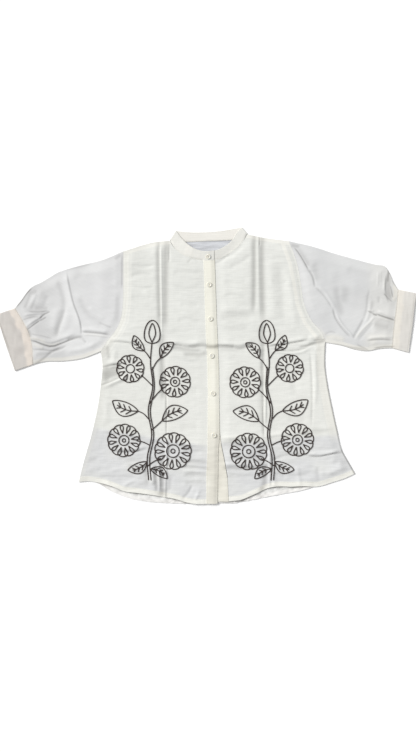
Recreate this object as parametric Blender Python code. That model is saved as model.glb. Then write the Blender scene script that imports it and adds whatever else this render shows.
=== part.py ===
"""A shirt with a mandarin collar and three-quarter sleeves, buttoned and laid flat on its back.

Lengths below are in millimetres, in the pattern frame: across is +X to the right as the shirt is seen from above,
along is +Y towards the collar, and height is +Z up from the table. The wearer's right side lies at -X.
"""

import math
from collections import namedtuple

import bmesh
import bpy
import numpy as np
from mathutils.geometry import tessellate_polygon

for old in list(bpy.data.objects):
    bpy.data.objects.remove(old, do_unlink=True)

MM = 0.001
# The middle of the laid-out shirt's outline, in the pattern frame.
MIDDLE_ACROSS = -3.75
MIDDLE_ALONG = 1.25

# Cloth sizes
WALL = 1.0
STRIP_WALL = 1.2
BAND_WALL = 1.5
GAP = 0.3
HEM_EXTRA = 0.6
FOLD_ROUND = 0.6
CUFF_BULGE = 1.4

# How high the upper layer lies over the lower one, how fast it falls to the closed edges, and the share of its height
# that is left at a sewn edge and beside the placket.
LOFT = 2.6
EDGE_FALL = 26.0
SEAM_FALL = 20.0
AT_SEAM = 0.45
PLACKET_FALL = 30.0
AT_PLACKET = 0.4

# Placket and button band
PLACKET_WIDTH = 28.0
PLACKET_BOTTOM = -330.0
BAND_BOTTOM = -325.0
STRIP_TOP = 252.0
PLACKET_CLEAR = 0.15
PLACKET_LAP = 8.0
PLACKET_RISE = 24.0
PLACKET_EDGE = 7.0

# Buttons
BUTTON_RADIUS = 6.0
BUTTON_THICK = 2.2
BUTTON_HOLE = 0.8
BUTTON_HOLE_SPREAD = 1.6

# Mesh densities
BODY_BELOW_ARM = 17
BODY_ARM = 14
SLEEVE_CELLS = 18

# Outlines, as rows of (across, along) read from hem to collar or from body to wrist.
SIDE_RIGHT = [(-310, -278), (-298, -230), (-278, -160), (-263, -90), (-257, -45), (-253, 0), (-257, 35)]
SIDE_LEFT = [(352, -258), (335, -228), (322, -205), (308, -150), (297, -100), (287, -50), (280, 0), (281, 57)]
ARMHOLE_RIGHT = [(-257, 35), (-240, 62), (-222, 85), (-210, 110), (-204, 150), (-203, 200), (-203, 275)]
ARMHOLE_LEFT = [(281, 57), (275, 75), (247, 110), (230, 150), (222, 200), (212, 250), (194, 299)]
SHOULDER_RIGHT = [(-203, 275), (-120, 298), (-93, 300)]
SHOULDER_LEFT = [(95, 316), (120, 310), (194, 299)]
NECK_FRONT = [
    (-93, 300), (-80, 280), (-60, 265), (-30, 255), (-10, 252), (17, 253), (40, 262), (70, 282), (88, 303), (95, 316)
]
NECK_RIGHT = -93.0
NECK_LEFT = 95.0
NECK_BACK = [(-93, 300), (-55, 297), (0, 299), (30, 300), (58, 302), (95, 316)]
HEM_RIGHT = [
    (-310, -278), (-290, -276), (-260, -280), (-230, -288), (-200, -300), (-170, -304), (-140, -308), (-110, -313),
    (-80, -318), (-50, -327), (-30, -330), (8, -330),
]
HEM_LEFT = [
    (50, -324), (80, -320), (100, -312), (120, -303), (145, -292), (160, -289), (200, -289), (230, -288), (260, -289),
    (300, -278), (325, -270), (352, -258),
]
HEM_BACK = [
    (-310, -278), (-290, -275), (-262, -282), (-240, -296), (-200, -313), (-160, -323), (-110, -328), (-40, -330),
    (23, -330), (60, -329), (100, -322), (150, -312), (200, -303), (240, -294), (262, -287), (300, -276), (352, -258),
]
SLEEVE_TOP_RIGHT = [
    (-203, 275), (-250, 255), (-300, 242), (-340, 231), (-360, 224), (-380, 212), (-400, 200), (-422, 189), (-434, 176),
    (-446, 159), (-463, 138),
]
SLEEVE_FOOT_RIGHT = [(-257, 35), (-300, 19), (-350, 12), (-390, 11), (-405, 8), (-420, 4)]
SLEEVE_TOP_LEFT = [
    (194, 299), (250, 286), (300, 270), (350, 256), (400, 243), (424, 238), (435, 222), (443, 203), (455, 183)
]
SLEEVE_FOOT_LEFT = [(281, 57), (320, 50), (350, 41), (383, 37), (410, 42), (441, 44)]
CUFF_SEAM_RIGHT = [(-463, 138), (-445, 110), (-430, 80), (-422, 50), (-420, 4)]
CUFF_SEAM_LEFT = [(455, 183), (451, 140), (447, 110), (443, 75), (441, 44)]
WRIST_RIGHT = [(-507, 123), (-488, 62), (-463, -11)]
WRIST_LEFT = [(499, 174), (491, 105), (481, 33)]

# The fronts' guide lines: where the pressed line and the centre edge start and how long they are, and how far the line
# down from the neck corner is drawn in at the hem.
PRESSED_LOW = -325.0
PRESSED_LONG = 600.0
CENTRE_LOW = -330.0
CENTRE_LONG = 583.0
NECK_LINE_DRAW_IN = 0.84

# Upright lines of the front strips, as rows of (along, across).
PRESSED_RIGHT = [(-330, -105), (-240, -105), (-180, -103), (-100, -102), (-50, -105), (100, -108), (300, -112)]
PRESSED_LEFT = [(-330, 141), (-150, 135), (0, 133), (100, 128), (200, 122), (310, 119)]
PLACKET_SEAM = [(-331, -4), (-260, -4), (-200, -1), (-65, 0), (0, -1), (100, -6), (200, -9), (253, -11)]
PLACKET_FREE = [(-331, 23), (-200, 25), (-165, 28), (0, 26), (110, 21), (253, 16)]
UNDER_INNER = [(-331, 23), (-270, 19), (-230, 12), (-190, 4), (-165, 2), (255, -10)]
UNDER_OUTER = [(-331, 50), (-270, 47), (-230, 40), (-190, 32), (-165, 29), (255, 17)]

# Folds of the upper layer. Each runs from (x0, y0) to (x1, y1), bowed to its right by bow. Its width is the same on
# both sides with lean 0, and a lean nearer 1 makes its right side steeper. A negative height is a trough.
Fold = namedtuple("Fold", "x0 y0 x1 y1 bow width lean height")
FOLDS = [
    # pressed lines down the two fronts, with the valleys beside them
    Fold(-113, 310, -105, -335, -3, 8, 0.0, 4.2),
    Fold(-92, 300, -84, -330, -3, 13, 0.0, -1.6),
    Fold(119, 330, 142, -335, 0, 8, 0.0, 4.2),
    Fold(137, 320, 158, -330, 0, 13, 0.0, -1.6),
    # crease across the chest and on into the arm pit
    Fold(-150, 56, 100, 47, 4, 9, 0.2, 2.4),
    Fold(-140, 36, 105, 30, 4, 14, 0.0, -1.6),
    Fold(100, 46, 215, 57, 6, 11, 0.0, 2.4),
    Fold(205, 53, 283, 62, 5, 11, 0.4, 4.0),
    Fold(215, 32, 280, 40, 4, 12, 0.0, -1.8),
    # lower crease across both fronts
    Fold(-235, -196, 5, -188, -4, 11, 0.0, 2.0),
    Fold(30, -182, 250, -196, 4, 12, 0.0, 2.0),
    Fold(-220, -228, 110, -232, 5, 16, 0.0, -1.4),
    # body swells, drags from the side seams and the rumpled hem
    Fold(-255, -6, -185, 8, 3, 9, 0.2, 2.6),
    Fold(-257, -44, -180, -16, 4, 10, 0.2, 2.6),
    Fold(-290, -190, -200, -120, 8, 24, 0.0, 1.6),
    Fold(-190, -330, -150, -240, 4, 16, 0.0, 2.2),
    Fold(-60, 180, -48, -120, 0, 30, 0.0, 1.2),
    Fold(70, 220, 84, 70, 0, 24, 0.0, 1.3),
    Fold(190, 240, 205, 80, -6, 16, 0.0, 1.8),
    Fold(180, -40, 196, -170, 0, 30, 0.0, 1.4),
    Fold(262, -208, 326, -206, 0, 9, 0.3, 3.0),
    Fold(278, -262, 346, -236, 4, 12, 0.0, 2.8),
    Fold(210, -330, 228, -252, 0, 15, 0.0, 2.4),
    Fold(-150, 250, -165, 130, 0, 16, 0.0, 1.4),
    # right sleeve: long folds, tucks at the cuff and the fold along the underarm
    Fold(-344, 222, -302, 72, -8, 9, 0.4, 4.0),
    Fold(-320, 200, -292, 90, -6, 13, 0.0, -1.6),
    Fold(-372, 205, -362, 78, 10, 16, 0.0, 2.6),
    Fold(-452, 104, -378, 134, -4, 8, 0.0, 4.2),
    Fold(-436, 84, -388, 118, -4, 8, 0.0, 3.6),
    Fold(-432, 66, -300, 78, 22, 10, 0.4, 5.0),
    Fold(-300, 82, -232, 78, 3, 11, 0.2, 3.0),
    Fold(-250, 230, -262, 110, -6, 20, 0.0, 2.0),
    Fold(-418, 32, -340, 26, 3, 10, 0.0, 2.6),
    # left sleeve: the V of two long folds, the puff over the cuff and its tucks
    Fold(214, 272, 262, 190, 5, 9, 0.3, 3.2),
    Fold(258, 196, 346, 62, -8, 12, 0.3, 4.2),
    Fold(344, 66, 392, 182, 6, 12, 0.3, 4.0),
    Fold(380, 134, 446, 108, 5, 9, 0.0, 4.2),
    Fold(412, 236, 414, 172, 6, 12, 0.3, 5.0),
    Fold(434, 214, 424, 152, 0, 11, 0.0, -3.0),
    Fold(392, 70, 446, 60, 0, 9, 0.0, 3.6),
    Fold(300, 80, 342, 128, 0, 14, 0.0, -1.6),
]

Button = namedtuple("Button", "name across along")
BUTTONS = [
    Button("button_1", 3, 195),
    Button("button_2", 6, 113),
    Button("button_3", 9, 24),
    Button("button_4", 12, -66),
    Button("button_5", 14, -166),
]
COLLAR_BUTTON = Button("button_collar", 0.6, 262.5)
COLLAR_BUTTON_BASE = 8.9

# Collar band: where its seam edge and its free edge lie, and how high the middle of its wall is at each.
CollarRow = namedtuple("CollarRow", "seam_x seam_y free_x free_y seam_z free_z")
COLLAR_OVER = 2.85
COLLAR_UNDER = 0.75
RIGHT_TURN_OUT = (-0.844, 0.536)
LEFT_TURN_OUT = (0.768, 0.640)
COLLAR_ROWS_RIGHT = [
    CollarRow(16.0, 253.7, 16.0, 276.5, 4.7, 8.3),
    CollarRow(-10.0, 252.7, -8.0, 274.5, 4.7, 8.6),
    CollarRow(-30.0, 255.8, -28.0, 279.5, 4.3, 7.8),
    CollarRow(-59.0, 265.9, -49.5, 293.0, 3.4, 5.8),
    CollarRow(-79.0, 281.0, -61.5, 305.0, 2.9, 4.0),
    CollarRow(-90.6, 300.6, -76.0, 323.6, COLLAR_OVER, COLLAR_OVER),
]
COLLAR_ROWS_BACK = [
    CollarRow(-90.6, 300.6, -76.0, 323.6, COLLAR_UNDER, COLLAR_UNDER),
    CollarRow(-55.0, 297.9, -50.0, 321.0, COLLAR_UNDER, COLLAR_UNDER),
    CollarRow(0.0, 299.9, 0.0, 321.0, COLLAR_UNDER, COLLAR_UNDER),
    CollarRow(30.0, 300.9, 40.0, 325.0, COLLAR_UNDER, COLLAR_UNDER),
    CollarRow(58.0, 303.0, 62.0, 329.0, COLLAR_UNDER, COLLAR_UNDER),
    CollarRow(92.5, 316.6, 80.0, 331.6, COLLAR_UNDER, COLLAR_UNDER),
]
COLLAR_ROWS_LEFT = [
    CollarRow(92.5, 316.6, 80.0, 331.6, COLLAR_OVER, COLLAR_OVER),
    CollarRow(86.8, 303.8, 66.0, 316.0, COLLAR_OVER, 3.6),
    CollarRow(69.0, 283.0, 58.0, 302.0, COLLAR_OVER, 4.4),
    CollarRow(39.5, 263.0, 39.0, 286.0, COLLAR_OVER, 5.6),
    CollarRow(17.0, 253.9, 18.0, 276.6, COLLAR_OVER, 6.4),
    CollarRow(-11.0, 252.9, -11.0, 274.8, COLLAR_OVER, 6.6),
]


# Curves and fields


def smooth(rows, count):
    """count + 1 points evenly spaced along the smooth curve through the rows."""
    rows = np.asarray(rows, float)
    chord = np.r_[0, np.cumsum(np.linalg.norm(np.diff(rows[:, :2], axis=0), axis=1))]
    slope = np.gradient(rows, chord, axis=0)
    at = np.linspace(0, chord[-1], 16 * len(rows))
    i = np.clip(np.searchsorted(chord, at, side="right") - 1, 0, len(rows) - 2)
    span = (chord[i + 1] - chord[i])[:, None]
    t = (at - chord[i])[:, None] / span
    fine = (
        (2 * t**3 - 3 * t**2 + 1) * rows[i]
        + (t**3 - 2 * t**2 + t) * span * slope[i]
        + (3 * t**2 - 2 * t**3) * rows[i + 1]
        + (t**3 - t**2) * span * slope[i + 1]
    )
    run = np.r_[0, np.cumsum(np.linalg.norm(np.diff(fine[:, :2], axis=0), axis=1))]
    even = np.linspace(0, run[-1], count + 1)
    return np.stack([np.interp(even, run, column) for column in fine.T], axis=1)


def across_at(rows, along):
    """Where an upright outline stands at the given distance along the shirt."""
    fine = smooth(rows, 240)
    return np.interp(along, fine[:, 1], fine[:, 0])


def along_at(rows, across):
    """Where a level outline, such as a hem, lies at the given distance across the shirt."""
    fine = smooth(rows, 240)
    return np.interp(across, fine[:, 0], fine[:, 1])


def upright(rows, along):
    """Where a strip's upright line stands: its rows hold (along, across)."""
    return np.interp(along, [row[0] for row in rows], [row[1] for row in rows])


def ease(t):
    """0 below 0, 1 above 1, and 3t^2 - 2t^3 between."""
    t = np.clip(t, 0, 1)
    return t * t * (3 - 2 * t)


def distance(x, y, line):
    """Distance from each point to a broken line."""
    best = np.full(np.shape(x), 1e9)
    for (ax, ay), (bx, by) in zip(line, line[1:]):
        dx, dy = bx - ax, by - ay
        t = np.clip(((x - ax) * dx + (y - ay) * dy) / (dx * dx + dy * dy), 0, 1)
        best = np.minimum(best, np.hypot(x - ax - t * dx, y - ay - t * dy))
    return best


CLOSED_EDGES = [
    SIDE_RIGHT, SIDE_LEFT, SHOULDER_RIGHT, SHOULDER_LEFT, SLEEVE_TOP_RIGHT, SLEEVE_TOP_LEFT, SLEEVE_FOOT_RIGHT,
    SLEEVE_FOOT_LEFT,
]
SEWN_EDGES = [NECK_FRONT, CUFF_SEAM_RIGHT, CUFF_SEAM_LEFT, ARMHOLE_RIGHT, ARMHOLE_LEFT]


def fold_height(x, y, fold):
    """height * exp(-(d / w)^2), d being the distance aside from the bowed line, thinning over each end's quarter."""
    dx, dy = fold.x1 - fold.x0, fold.y1 - fold.y0
    length = math.hypot(dx, dy)
    along = np.clip(((x - fold.x0) * dx + (y - fold.y0) * dy) / length**2, 0, 1)
    aside = ((x - fold.x0) * dy - (y - fold.y0) * dx) / length - fold.bow * 4 * along * (1 - along)
    width = fold.width * np.where(aside > 0, 1 - 0.6 * fold.lean, 1 + 0.6 * fold.lean)
    ends = ease(along / 0.25) * ease((1 - along) / 0.25)
    return fold.height * ends * np.exp(-((aside / width) ** 2))


def rise(x, y):
    """How far the upper layer stands above its lowest place: the loft and folds, pressed down at edges and seams."""
    total = LOFT + sum(fold_height(x, y, fold) for fold in FOLDS)
    for line in CLOSED_EDGES:
        total = total * ease(distance(x, y, line) / EDGE_FALL)
    for line in SEWN_EDGES:
        total = total * (AT_SEAM + (1 - AT_SEAM) * ease(distance(x, y, line) / SEAM_FALL))
    from_placket = np.abs(x - upright(PLACKET_SEAM, y) - PLACKET_WIDTH / 2) - PLACKET_WIDTH / 2
    return np.maximum(total * (AT_PLACKET + (1 - AT_PLACKET) * ease((from_placket - 2) / PLACKET_FALL)), 0)


def steepness(x, y):
    """Length of the cloth per length in plan, so that the wall keeps its thickness on a slope."""
    step = 1.0
    slope_x = (rise(x + step, y) - rise(x - step, y)) / (2 * step)
    slope_y = (rise(x, y + step) - rise(x, y - step)) / (2 * step)
    return np.sqrt(1 + slope_x**2 + slope_y**2)


def upper_floor(x, y):
    """Underside of the upper layer."""
    return WALL + GAP + rise(x, y)


def placket_lift(x, y):
    """The right front climbs over the button band before it goes under the placket."""
    return (WALL + GAP) * ease((x - upright(PLACKET_SEAM, y) + PLACKET_RISE + 4) / PLACKET_RISE)


# Building meshes


def add_piece(name, points, faces, colour, roughness):
    """One closed body in metres, with faces outward and its own material."""
    mesh = bpy.data.meshes.new(name)
    points = np.asarray(points, float) - (MIDDLE_ACROSS, MIDDLE_ALONG, 0)
    mesh.from_pydata((points * MM).tolist(), [], faces)
    shape = bmesh.new()
    shape.from_mesh(mesh)
    bmesh.ops.recalc_face_normals(shape, faces=shape.faces)
    shape.to_mesh(mesh)
    shape.free()
    mesh.polygons.foreach_set("use_smooth", [True] * len(mesh.polygons))
    mesh.set_sharp_from_angle(angle=math.radians(38))
    material = bpy.data.materials.new(name)
    material.use_nodes = True
    shader = material.node_tree.nodes["Principled BSDF"]
    shader.inputs["Base Color"].default_value = (*colour, 1)
    shader.inputs["Roughness"].default_value = roughness
    shader.inputs["Metallic"].default_value = 0
    mesh.materials.append(material)
    piece = bpy.data.objects.new(name, mesh)
    bpy.context.scene.collection.objects.link(piece)


def wall(outer, inner):
    """Points and faces of a cloth wall between two grids of the same shape, closed by a rim."""
    rows, columns = outer.shape[:2]
    size = rows * columns
    faces = []
    for i in range(rows - 1):
        for j in range(columns - 1):
            a = i * columns + j
            quad = (a, a + 1, a + columns + 1, a + columns)
            faces.append(quad)
            faces.append(tuple(size + k for k in reversed(quad)))
    rim = list(range(columns))
    rim += [i * columns + columns - 1 for i in range(1, rows)]
    rim += [(rows - 1) * columns + j for j in range(columns - 2, -1, -1)]
    rim += [i * columns for i in range(rows - 2, 0, -1)]
    for a, b in zip(rim, rim[1:] + rim[:1]):
        faces.append((b, a, size + a, size + b))
    return np.vstack([outer.reshape(-1, 3), inner.reshape(-1, 3)]), faces


def tube(outer, inner):
    """Points and faces of an open tube: rings around it by stations along it, outside and inside."""
    stations, around = outer.shape[:2]
    size = stations * around
    faces = []
    for i in range(stations - 1):
        for j in range(around):
            k = (j + 1) % around
            a, b, c, d = i * around + j, i * around + k, (i + 1) * around + k, (i + 1) * around + j
            faces.append((a, b, c, d))
            faces.append((size + d, size + c, size + b, size + a))
    for i in (0, stations - 1):
        for j in range(around):
            k = (j + 1) % around
            a, b = i * around + j, i * around + k
            quad = (b, a, size + a, size + b)
            faces.append(quad if i == 0 else quad[::-1])
    return np.vstack([outer.reshape(-1, 3), inner.reshape(-1, 3)]), faces


# Rows up the body, shared by the fronts, the back, the placket and, past the arm pit, by the sleeves
ARM_PIT = 0.566
V_ROWS = np.r_[
    0,
    0.0206,
    0.024,
    np.linspace(0.052, ARM_PIT, BODY_BELOW_ARM),
    np.linspace(ARM_PIT, 1, BODY_ARM + 1)[1:],
]
ARM_ROWS = V_ROWS[-(BODY_ARM + 1) :]


def side_of(side, armhole, v):
    """The panel's outer edge: side seam below the arm pit, armhole above it."""
    (_, low), (_, high) = side[0], armhole[-1]
    along = low + v * (high - low)
    return np.where(v <= ARM_PIT, across_at(side, along), across_at(armhole, along))


def spread(u, lines):
    """x of each column on each row: the guide lines stand at whole numbers of u, and columns share the room between."""
    u = np.broadcast_to(u, (len(lines[0]), len(u)))
    x = np.zeros(u.shape)
    for k, (left, right) in enumerate(zip(lines, lines[1:])):
        inside = (u >= k) & (u <= k + 1)
        share = u - k
        x = np.where(inside, left[:, None] + share * (right - left)[:, None], x)
    return x


def panel_plan(u, v, lines, hem, top):
    """Plan of a panel: x from the guide lines, y = hem + v * (top - hem) on each column."""
    x = spread(u, lines)
    low = hem(x[0])
    high = top(x[-1])
    return x, low + v[:, None] * (high - low)


def hem_band(x, y):
    """The turned hem's extra thickness on the outside of the first two rows, ending where the placket covers it."""
    extra = HEM_EXTRA * (1 - ease((x - upright(PLACKET_SEAM, y) + 6) / 4) * (x < 30))
    extra[2:] = 0
    return extra


def front_top(shoulder, is_right, across):
    """Top edge of a front: its shoulder seam, then the neck curve."""
    on_shoulder = across <= NECK_RIGHT if is_right else across >= NECK_LEFT
    return np.where(on_shoulder, along_at(shoulder, across), along_at(NECK_FRONT, across))


def build_front(name, side, armhole, shoulder, neck_corner, pressed, centre, hem_rows, columns, lift):
    """A front panel. Its guide lines are the side, the pressed line, the neck line and the centre edge."""
    v = V_ROWS
    is_right = neck_corner == NECK_RIGHT
    along = PRESSED_LOW + v * PRESSED_LONG
    neck_line = neck_corner * (NECK_LINE_DRAW_IN + (1 - NECK_LINE_DRAW_IN) * v)
    centre_line = upright(centre, CENTRE_LOW + v * CENTRE_LONG)
    lines = [side_of(side, armhole, v), upright(pressed, along), neck_line, centre_line]
    if is_right:
        lines[3] = lines[3] + PLACKET_LAP
    else:
        lines[3] = lines[3] + GAP
        lines = lines[::-1]
        columns = [3 - u for u in reversed(columns)]
    x, y = panel_plan(
        np.array(columns),
        v,
        lines,
        lambda across: along_at(hem_rows, across),
        lambda across: front_top(shoulder, is_right, across),
    )
    floor = upper_floor(x, y) + lift(x, y)
    inner = np.stack([x, y, floor], axis=2)
    outer = inner + np.stack([0 * x, 0 * x, WALL * steepness(x, y) + hem_band(x, y)], axis=2)
    points, faces = wall(outer, inner)
    add_piece(name, points, faces, (0.83, 0.83, 0.80), 0.85)


FRONT_COLUMNS = [
    0, 0.08, 0.17, 0.26, 0.35, 0.44, 0.53, 0.62, 0.71, 0.79, 0.86, 0.91, 0.955, 1, 1.25, 1.5, 1.75, 2, 2.12, 2.25,
    2.38, 2.5, 2.64, 2.82, 3,
]
build_front(
    "front_right", SIDE_RIGHT, ARMHOLE_RIGHT, SHOULDER_RIGHT, NECK_RIGHT, PRESSED_RIGHT, PLACKET_SEAM, HEM_RIGHT,
    FRONT_COLUMNS, placket_lift,
)
build_front(
    "front_left", SIDE_LEFT, ARMHOLE_LEFT, SHOULDER_LEFT, NECK_LEFT, PRESSED_LEFT, UNDER_OUTER, HEM_LEFT,
    FRONT_COLUMNS, lambda x, y: 0 * x,
)


def build_back():
    """The back, flat on the table: its guide lines are the two sides, the two neck corners and the middle."""
    v = V_ROWS
    lines = [
        side_of(SIDE_RIGHT, ARMHOLE_RIGHT, v),
        NECK_RIGHT - 12 * (1 - v),
        0 * v,
        NECK_LEFT + 20 * (1 - v),
        side_of(SIDE_LEFT, ARMHOLE_LEFT, v),
    ]
    columns = np.array([0, 0.25, 0.5, 0.75, 1, 1.33, 1.66, 2, 2.33, 2.66, 3, 3.25, 3.5, 3.75, 4])

    def top(across):
        ends = np.where(across < 0, along_at(SHOULDER_RIGHT, across), along_at(SHOULDER_LEFT, across))
        return np.where((across > NECK_RIGHT) & (across < NECK_LEFT), along_at(NECK_BACK, across), ends)

    x, y = panel_plan(columns, v, lines, lambda across: along_at(HEM_BACK, across), top)
    inner = np.stack([x, y, 0 * x], axis=2)
    outer = np.stack([x, y, WALL + 0 * x], axis=2)
    points, faces = wall(outer, inner)
    add_piece("back", points, faces, (0.80, 0.81, 0.80), 0.85)


build_back()


def build_strip(name, left, right, low, floor, wall_thick, colour):
    """A strip down the centre front, from its left line to its right line, on the body's rows."""
    v = V_ROWS
    along = low + v * (STRIP_TOP - low)
    share = np.array([0, 0.3, 0.55, 0.75, 0.88, 1])
    start, end = upright(left, along), upright(right, along)
    x = start[:, None] + share * (end - start)[:, None]
    top = along_at(NECK_FRONT, x[-1])
    y = low + v[:, None] * (top - low)
    base = floor(x, y)
    inner = np.stack([x, y, base], axis=2)
    outer = np.stack([x, y, base + wall_thick * steepness(x, y)], axis=2)
    points, faces = wall(outer, inner)
    add_piece(name, points, faces, colour, 0.8)


def placket_floor(x, y):
    """Over the right front's edge, level, and easing down onto the band at the free edge."""
    drop = (WALL + GAP) * ease((x - upright(PLACKET_FREE, y) + PLACKET_EDGE) / PLACKET_EDGE)
    return upper_floor(x, y) + 2 * (WALL + GAP) + PLACKET_CLEAR - drop


build_strip("under_placket", UNDER_INNER, UNDER_OUTER, BAND_BOTTOM, upper_floor, WALL, (0.86, 0.84, 0.78))
build_strip("placket", PLACKET_SEAM, PLACKET_FREE, PLACKET_BOTTOM, placket_floor, STRIP_WALL, (0.88, 0.86, 0.80))


# Sleeves and cuffs


def blend(s, q, top, foot, start, end):
    """Surface patch between four edges: top and foot run by s, start and end run by q."""
    s = s[:, None, None]
    q = q[None, :, None]
    across = (1 - q) * top[:, None] + q * foot[:, None]
    along = (1 - s) * start[None] + s * end[None]
    corners = (1 - s) * ((1 - q) * start[0] + q * start[-1]) + s * ((1 - q) * end[0] + q * end[-1])
    return across + along - corners


def moved_out(line, amount):
    """The line moved to its left by amount."""
    run = np.gradient(line, axis=0)
    run = run / np.linalg.norm(run, axis=1)[:, None]
    return line + amount * np.stack([-run[:, 1], run[:, 0]], axis=1)


def flat_tube(plan, upper_low, upper_high, lower_high):
    """A flattened tube: rings of the upper layer, the rounded foot edge, the lower layer and the rounded top edge."""
    towards_top = plan[:, 0] - plan[:, 1]
    towards_top /= np.linalg.norm(towards_top, axis=1)[:, None]
    towards_foot = plan[:, -1] - plan[:, -2]
    towards_foot /= np.linalg.norm(towards_foot, axis=1)[:, None]
    half = (lower_high + upper_low[:, 0].min()) / 2

    def ring(plan_of_layer, upper_z, lower_z, edge):
        top = plan[:, 0] + edge * towards_top
        foot = plan[:, -1] + edge * towards_foot
        middle = np.full((len(plan), 1), half)
        return np.concatenate(
            [
                np.concatenate([plan_of_layer, upper_z[..., None]], axis=2),
                np.concatenate([foot, middle], axis=1)[:, None],
                np.concatenate([plan_of_layer[:, ::-1], lower_z[:, ::-1, None]], axis=2),
                np.concatenate([top, middle], axis=1)[:, None],
            ],
            axis=1,
        )

    inset = plan.copy()
    inset[:, 0] -= WALL * towards_top
    inset[:, -1] -= WALL * towards_foot
    outer = ring(plan, upper_high, 0 * upper_high, FOLD_ROUND)
    inner = ring(inset, upper_low, np.full(upper_low.shape, lower_high), FOLD_ROUND - WALL)
    return tube(outer, inner)


def arm_side(side, armhole):
    """The armhole from shoulder to arm pit on the body's rows."""
    (_, low), (_, high) = side[0], armhole[-1]
    along = low + ARM_ROWS * (high - low)
    line = np.stack([across_at(armhole, along), along], axis=1)
    line[0] = side[-1]
    return line[::-1]


def share_of(line):
    """How far along a line each of its points is, from 0 to 1."""
    run = np.r_[0, np.cumsum(np.linalg.norm(np.diff(line, axis=0), axis=1))]
    return run / run[-1]


def build_arm(hand, side, armhole, top_rows, foot_rows, seam_rows, wrist_rows):
    """A sleeve and its cuff. They share the points of the seam between them, moved apart by the gap."""
    outward = -1 if hand == "right" else 1
    start = moved_out(arm_side(side, armhole), outward * GAP)
    q = share_of(start)
    s = np.linspace(0, 1, SLEEVE_CELLS + 1) ** 0.92
    fine = 400
    top = smooth(top_rows, fine)[np.round(s * fine).astype(int)]
    foot = smooth(foot_rows, fine)[np.round(s * fine).astype(int)]
    seam = smooth(seam_rows, fine)[np.round(q * fine).astype(int)]
    top = top + (1 - s[:, None]) * (start[0] - top[0])
    foot = foot + (1 - s[:, None]) * (start[-1] - foot[0])
    plan = blend(s, q, top, foot, start, seam)
    x, y = plan[..., 0], plan[..., 1]
    low = upper_floor(x, y)
    points, faces = flat_tube(plan, low, low + WALL * steepness(x, y), WALL)
    add_piece("sleeve_" + hand, points, faces, (0.74, 0.76, 0.78), 0.8)

    near = moved_out(seam, outward * GAP)
    wrist = smooth(wrist_rows, fine)[np.round(q * fine).astype(int)]
    t = np.linspace(0, 1, 5)
    upper_edge = near[0] + t[:, None] * (wrist[0] - near[0])
    lower_edge = near[-1] + t[:, None] * (wrist[-1] - near[-1])
    plan = blend(t, q, upper_edge, lower_edge, near, wrist)
    bulge = CUFF_BULGE * np.sin(math.pi * q)[None, :] ** 0.6 * (0.5 + 0.5 * np.sin(math.pi * t))[:, None]
    low = BAND_WALL + GAP + bulge
    points, faces = flat_tube(plan, low, low + BAND_WALL, BAND_WALL)
    add_piece("cuff_" + hand, points, faces, (0.80, 0.75, 0.70), 0.8)


build_arm(
    "right", SIDE_RIGHT, ARMHOLE_RIGHT, SLEEVE_TOP_RIGHT, SLEEVE_FOOT_RIGHT, CUFF_SEAM_RIGHT, WRIST_RIGHT
)
build_arm("left", SIDE_LEFT, ARMHOLE_LEFT, SLEEVE_TOP_LEFT, SLEEVE_FOOT_LEFT, CUFF_SEAM_LEFT, WRIST_LEFT)


# Collar


def collar_run(rows, count, facing):
    """Stations of one flat stretch of the band: points across its wall's middle, and the way its outside faces."""
    rows = np.asarray(rows, float)
    seam = smooth(rows[:, [0, 1, 4]], count)
    free = smooth(rows[:, [2, 3, 5]], count)
    share = np.linspace(0, 1, 5)[None, :, None]
    middle = seam[:, None] + share * (free - seam)[:, None]
    normal = np.zeros(middle.shape)
    normal[..., 2] = facing
    return middle, normal


def collar_turn(row, outward, first_up):
    """Stations round a fold of the band: a half circle between the upper stretch and the lower one."""
    share = np.linspace(0, 1, 5)[:, None]
    line = np.array([row.seam_x, row.seam_y]) + share * np.array([row.free_x - row.seam_x, row.free_y - row.seam_y])
    radius = (COLLAR_OVER - COLLAR_UNDER) / 2
    centre = (COLLAR_OVER + COLLAR_UNDER) / 2
    middles, normals = [], []
    for degrees in (45, 90, 135):
        angle = math.radians(degrees if first_up else 180 - degrees)
        normal = np.array([outward[0] * math.sin(angle), outward[1] * math.sin(angle), math.cos(angle)])
        middles.append(np.c_[line, np.full(len(line), centre)] + radius * normal)
        normals.append(np.broadcast_to(normal, (len(line), 3)))
    return np.array(middles), np.array(normals)


def build_collar():
    right_fold, left_fold = COLLAR_ROWS_RIGHT[-1], COLLAR_ROWS_LEFT[0]
    stretches = [
        collar_run(COLLAR_ROWS_RIGHT, 14, 1),
        collar_turn(right_fold, RIGHT_TURN_OUT, True),
        collar_run(COLLAR_ROWS_BACK, 14, -1),
        collar_turn(left_fold, LEFT_TURN_OUT, False),
        collar_run(COLLAR_ROWS_LEFT, 14, 1),
    ]
    middle = np.concatenate([stretch[0] for stretch in stretches])
    normal = np.concatenate([stretch[1] for stretch in stretches])
    points, faces = wall(middle + normal * BAND_WALL / 2, middle - normal * BAND_WALL / 2)
    add_piece("collar", points, faces, (0.84, 0.82, 0.76), 0.8)


build_collar()


# Buttons


def circle(radius, count, centre=0.0):
    """Points of a circle, its centre moved along by centre."""
    turn = np.arange(count) * 2 * math.pi / count
    return np.stack([radius * np.cos(turn), centre + radius * np.sin(turn)], axis=1)


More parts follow.
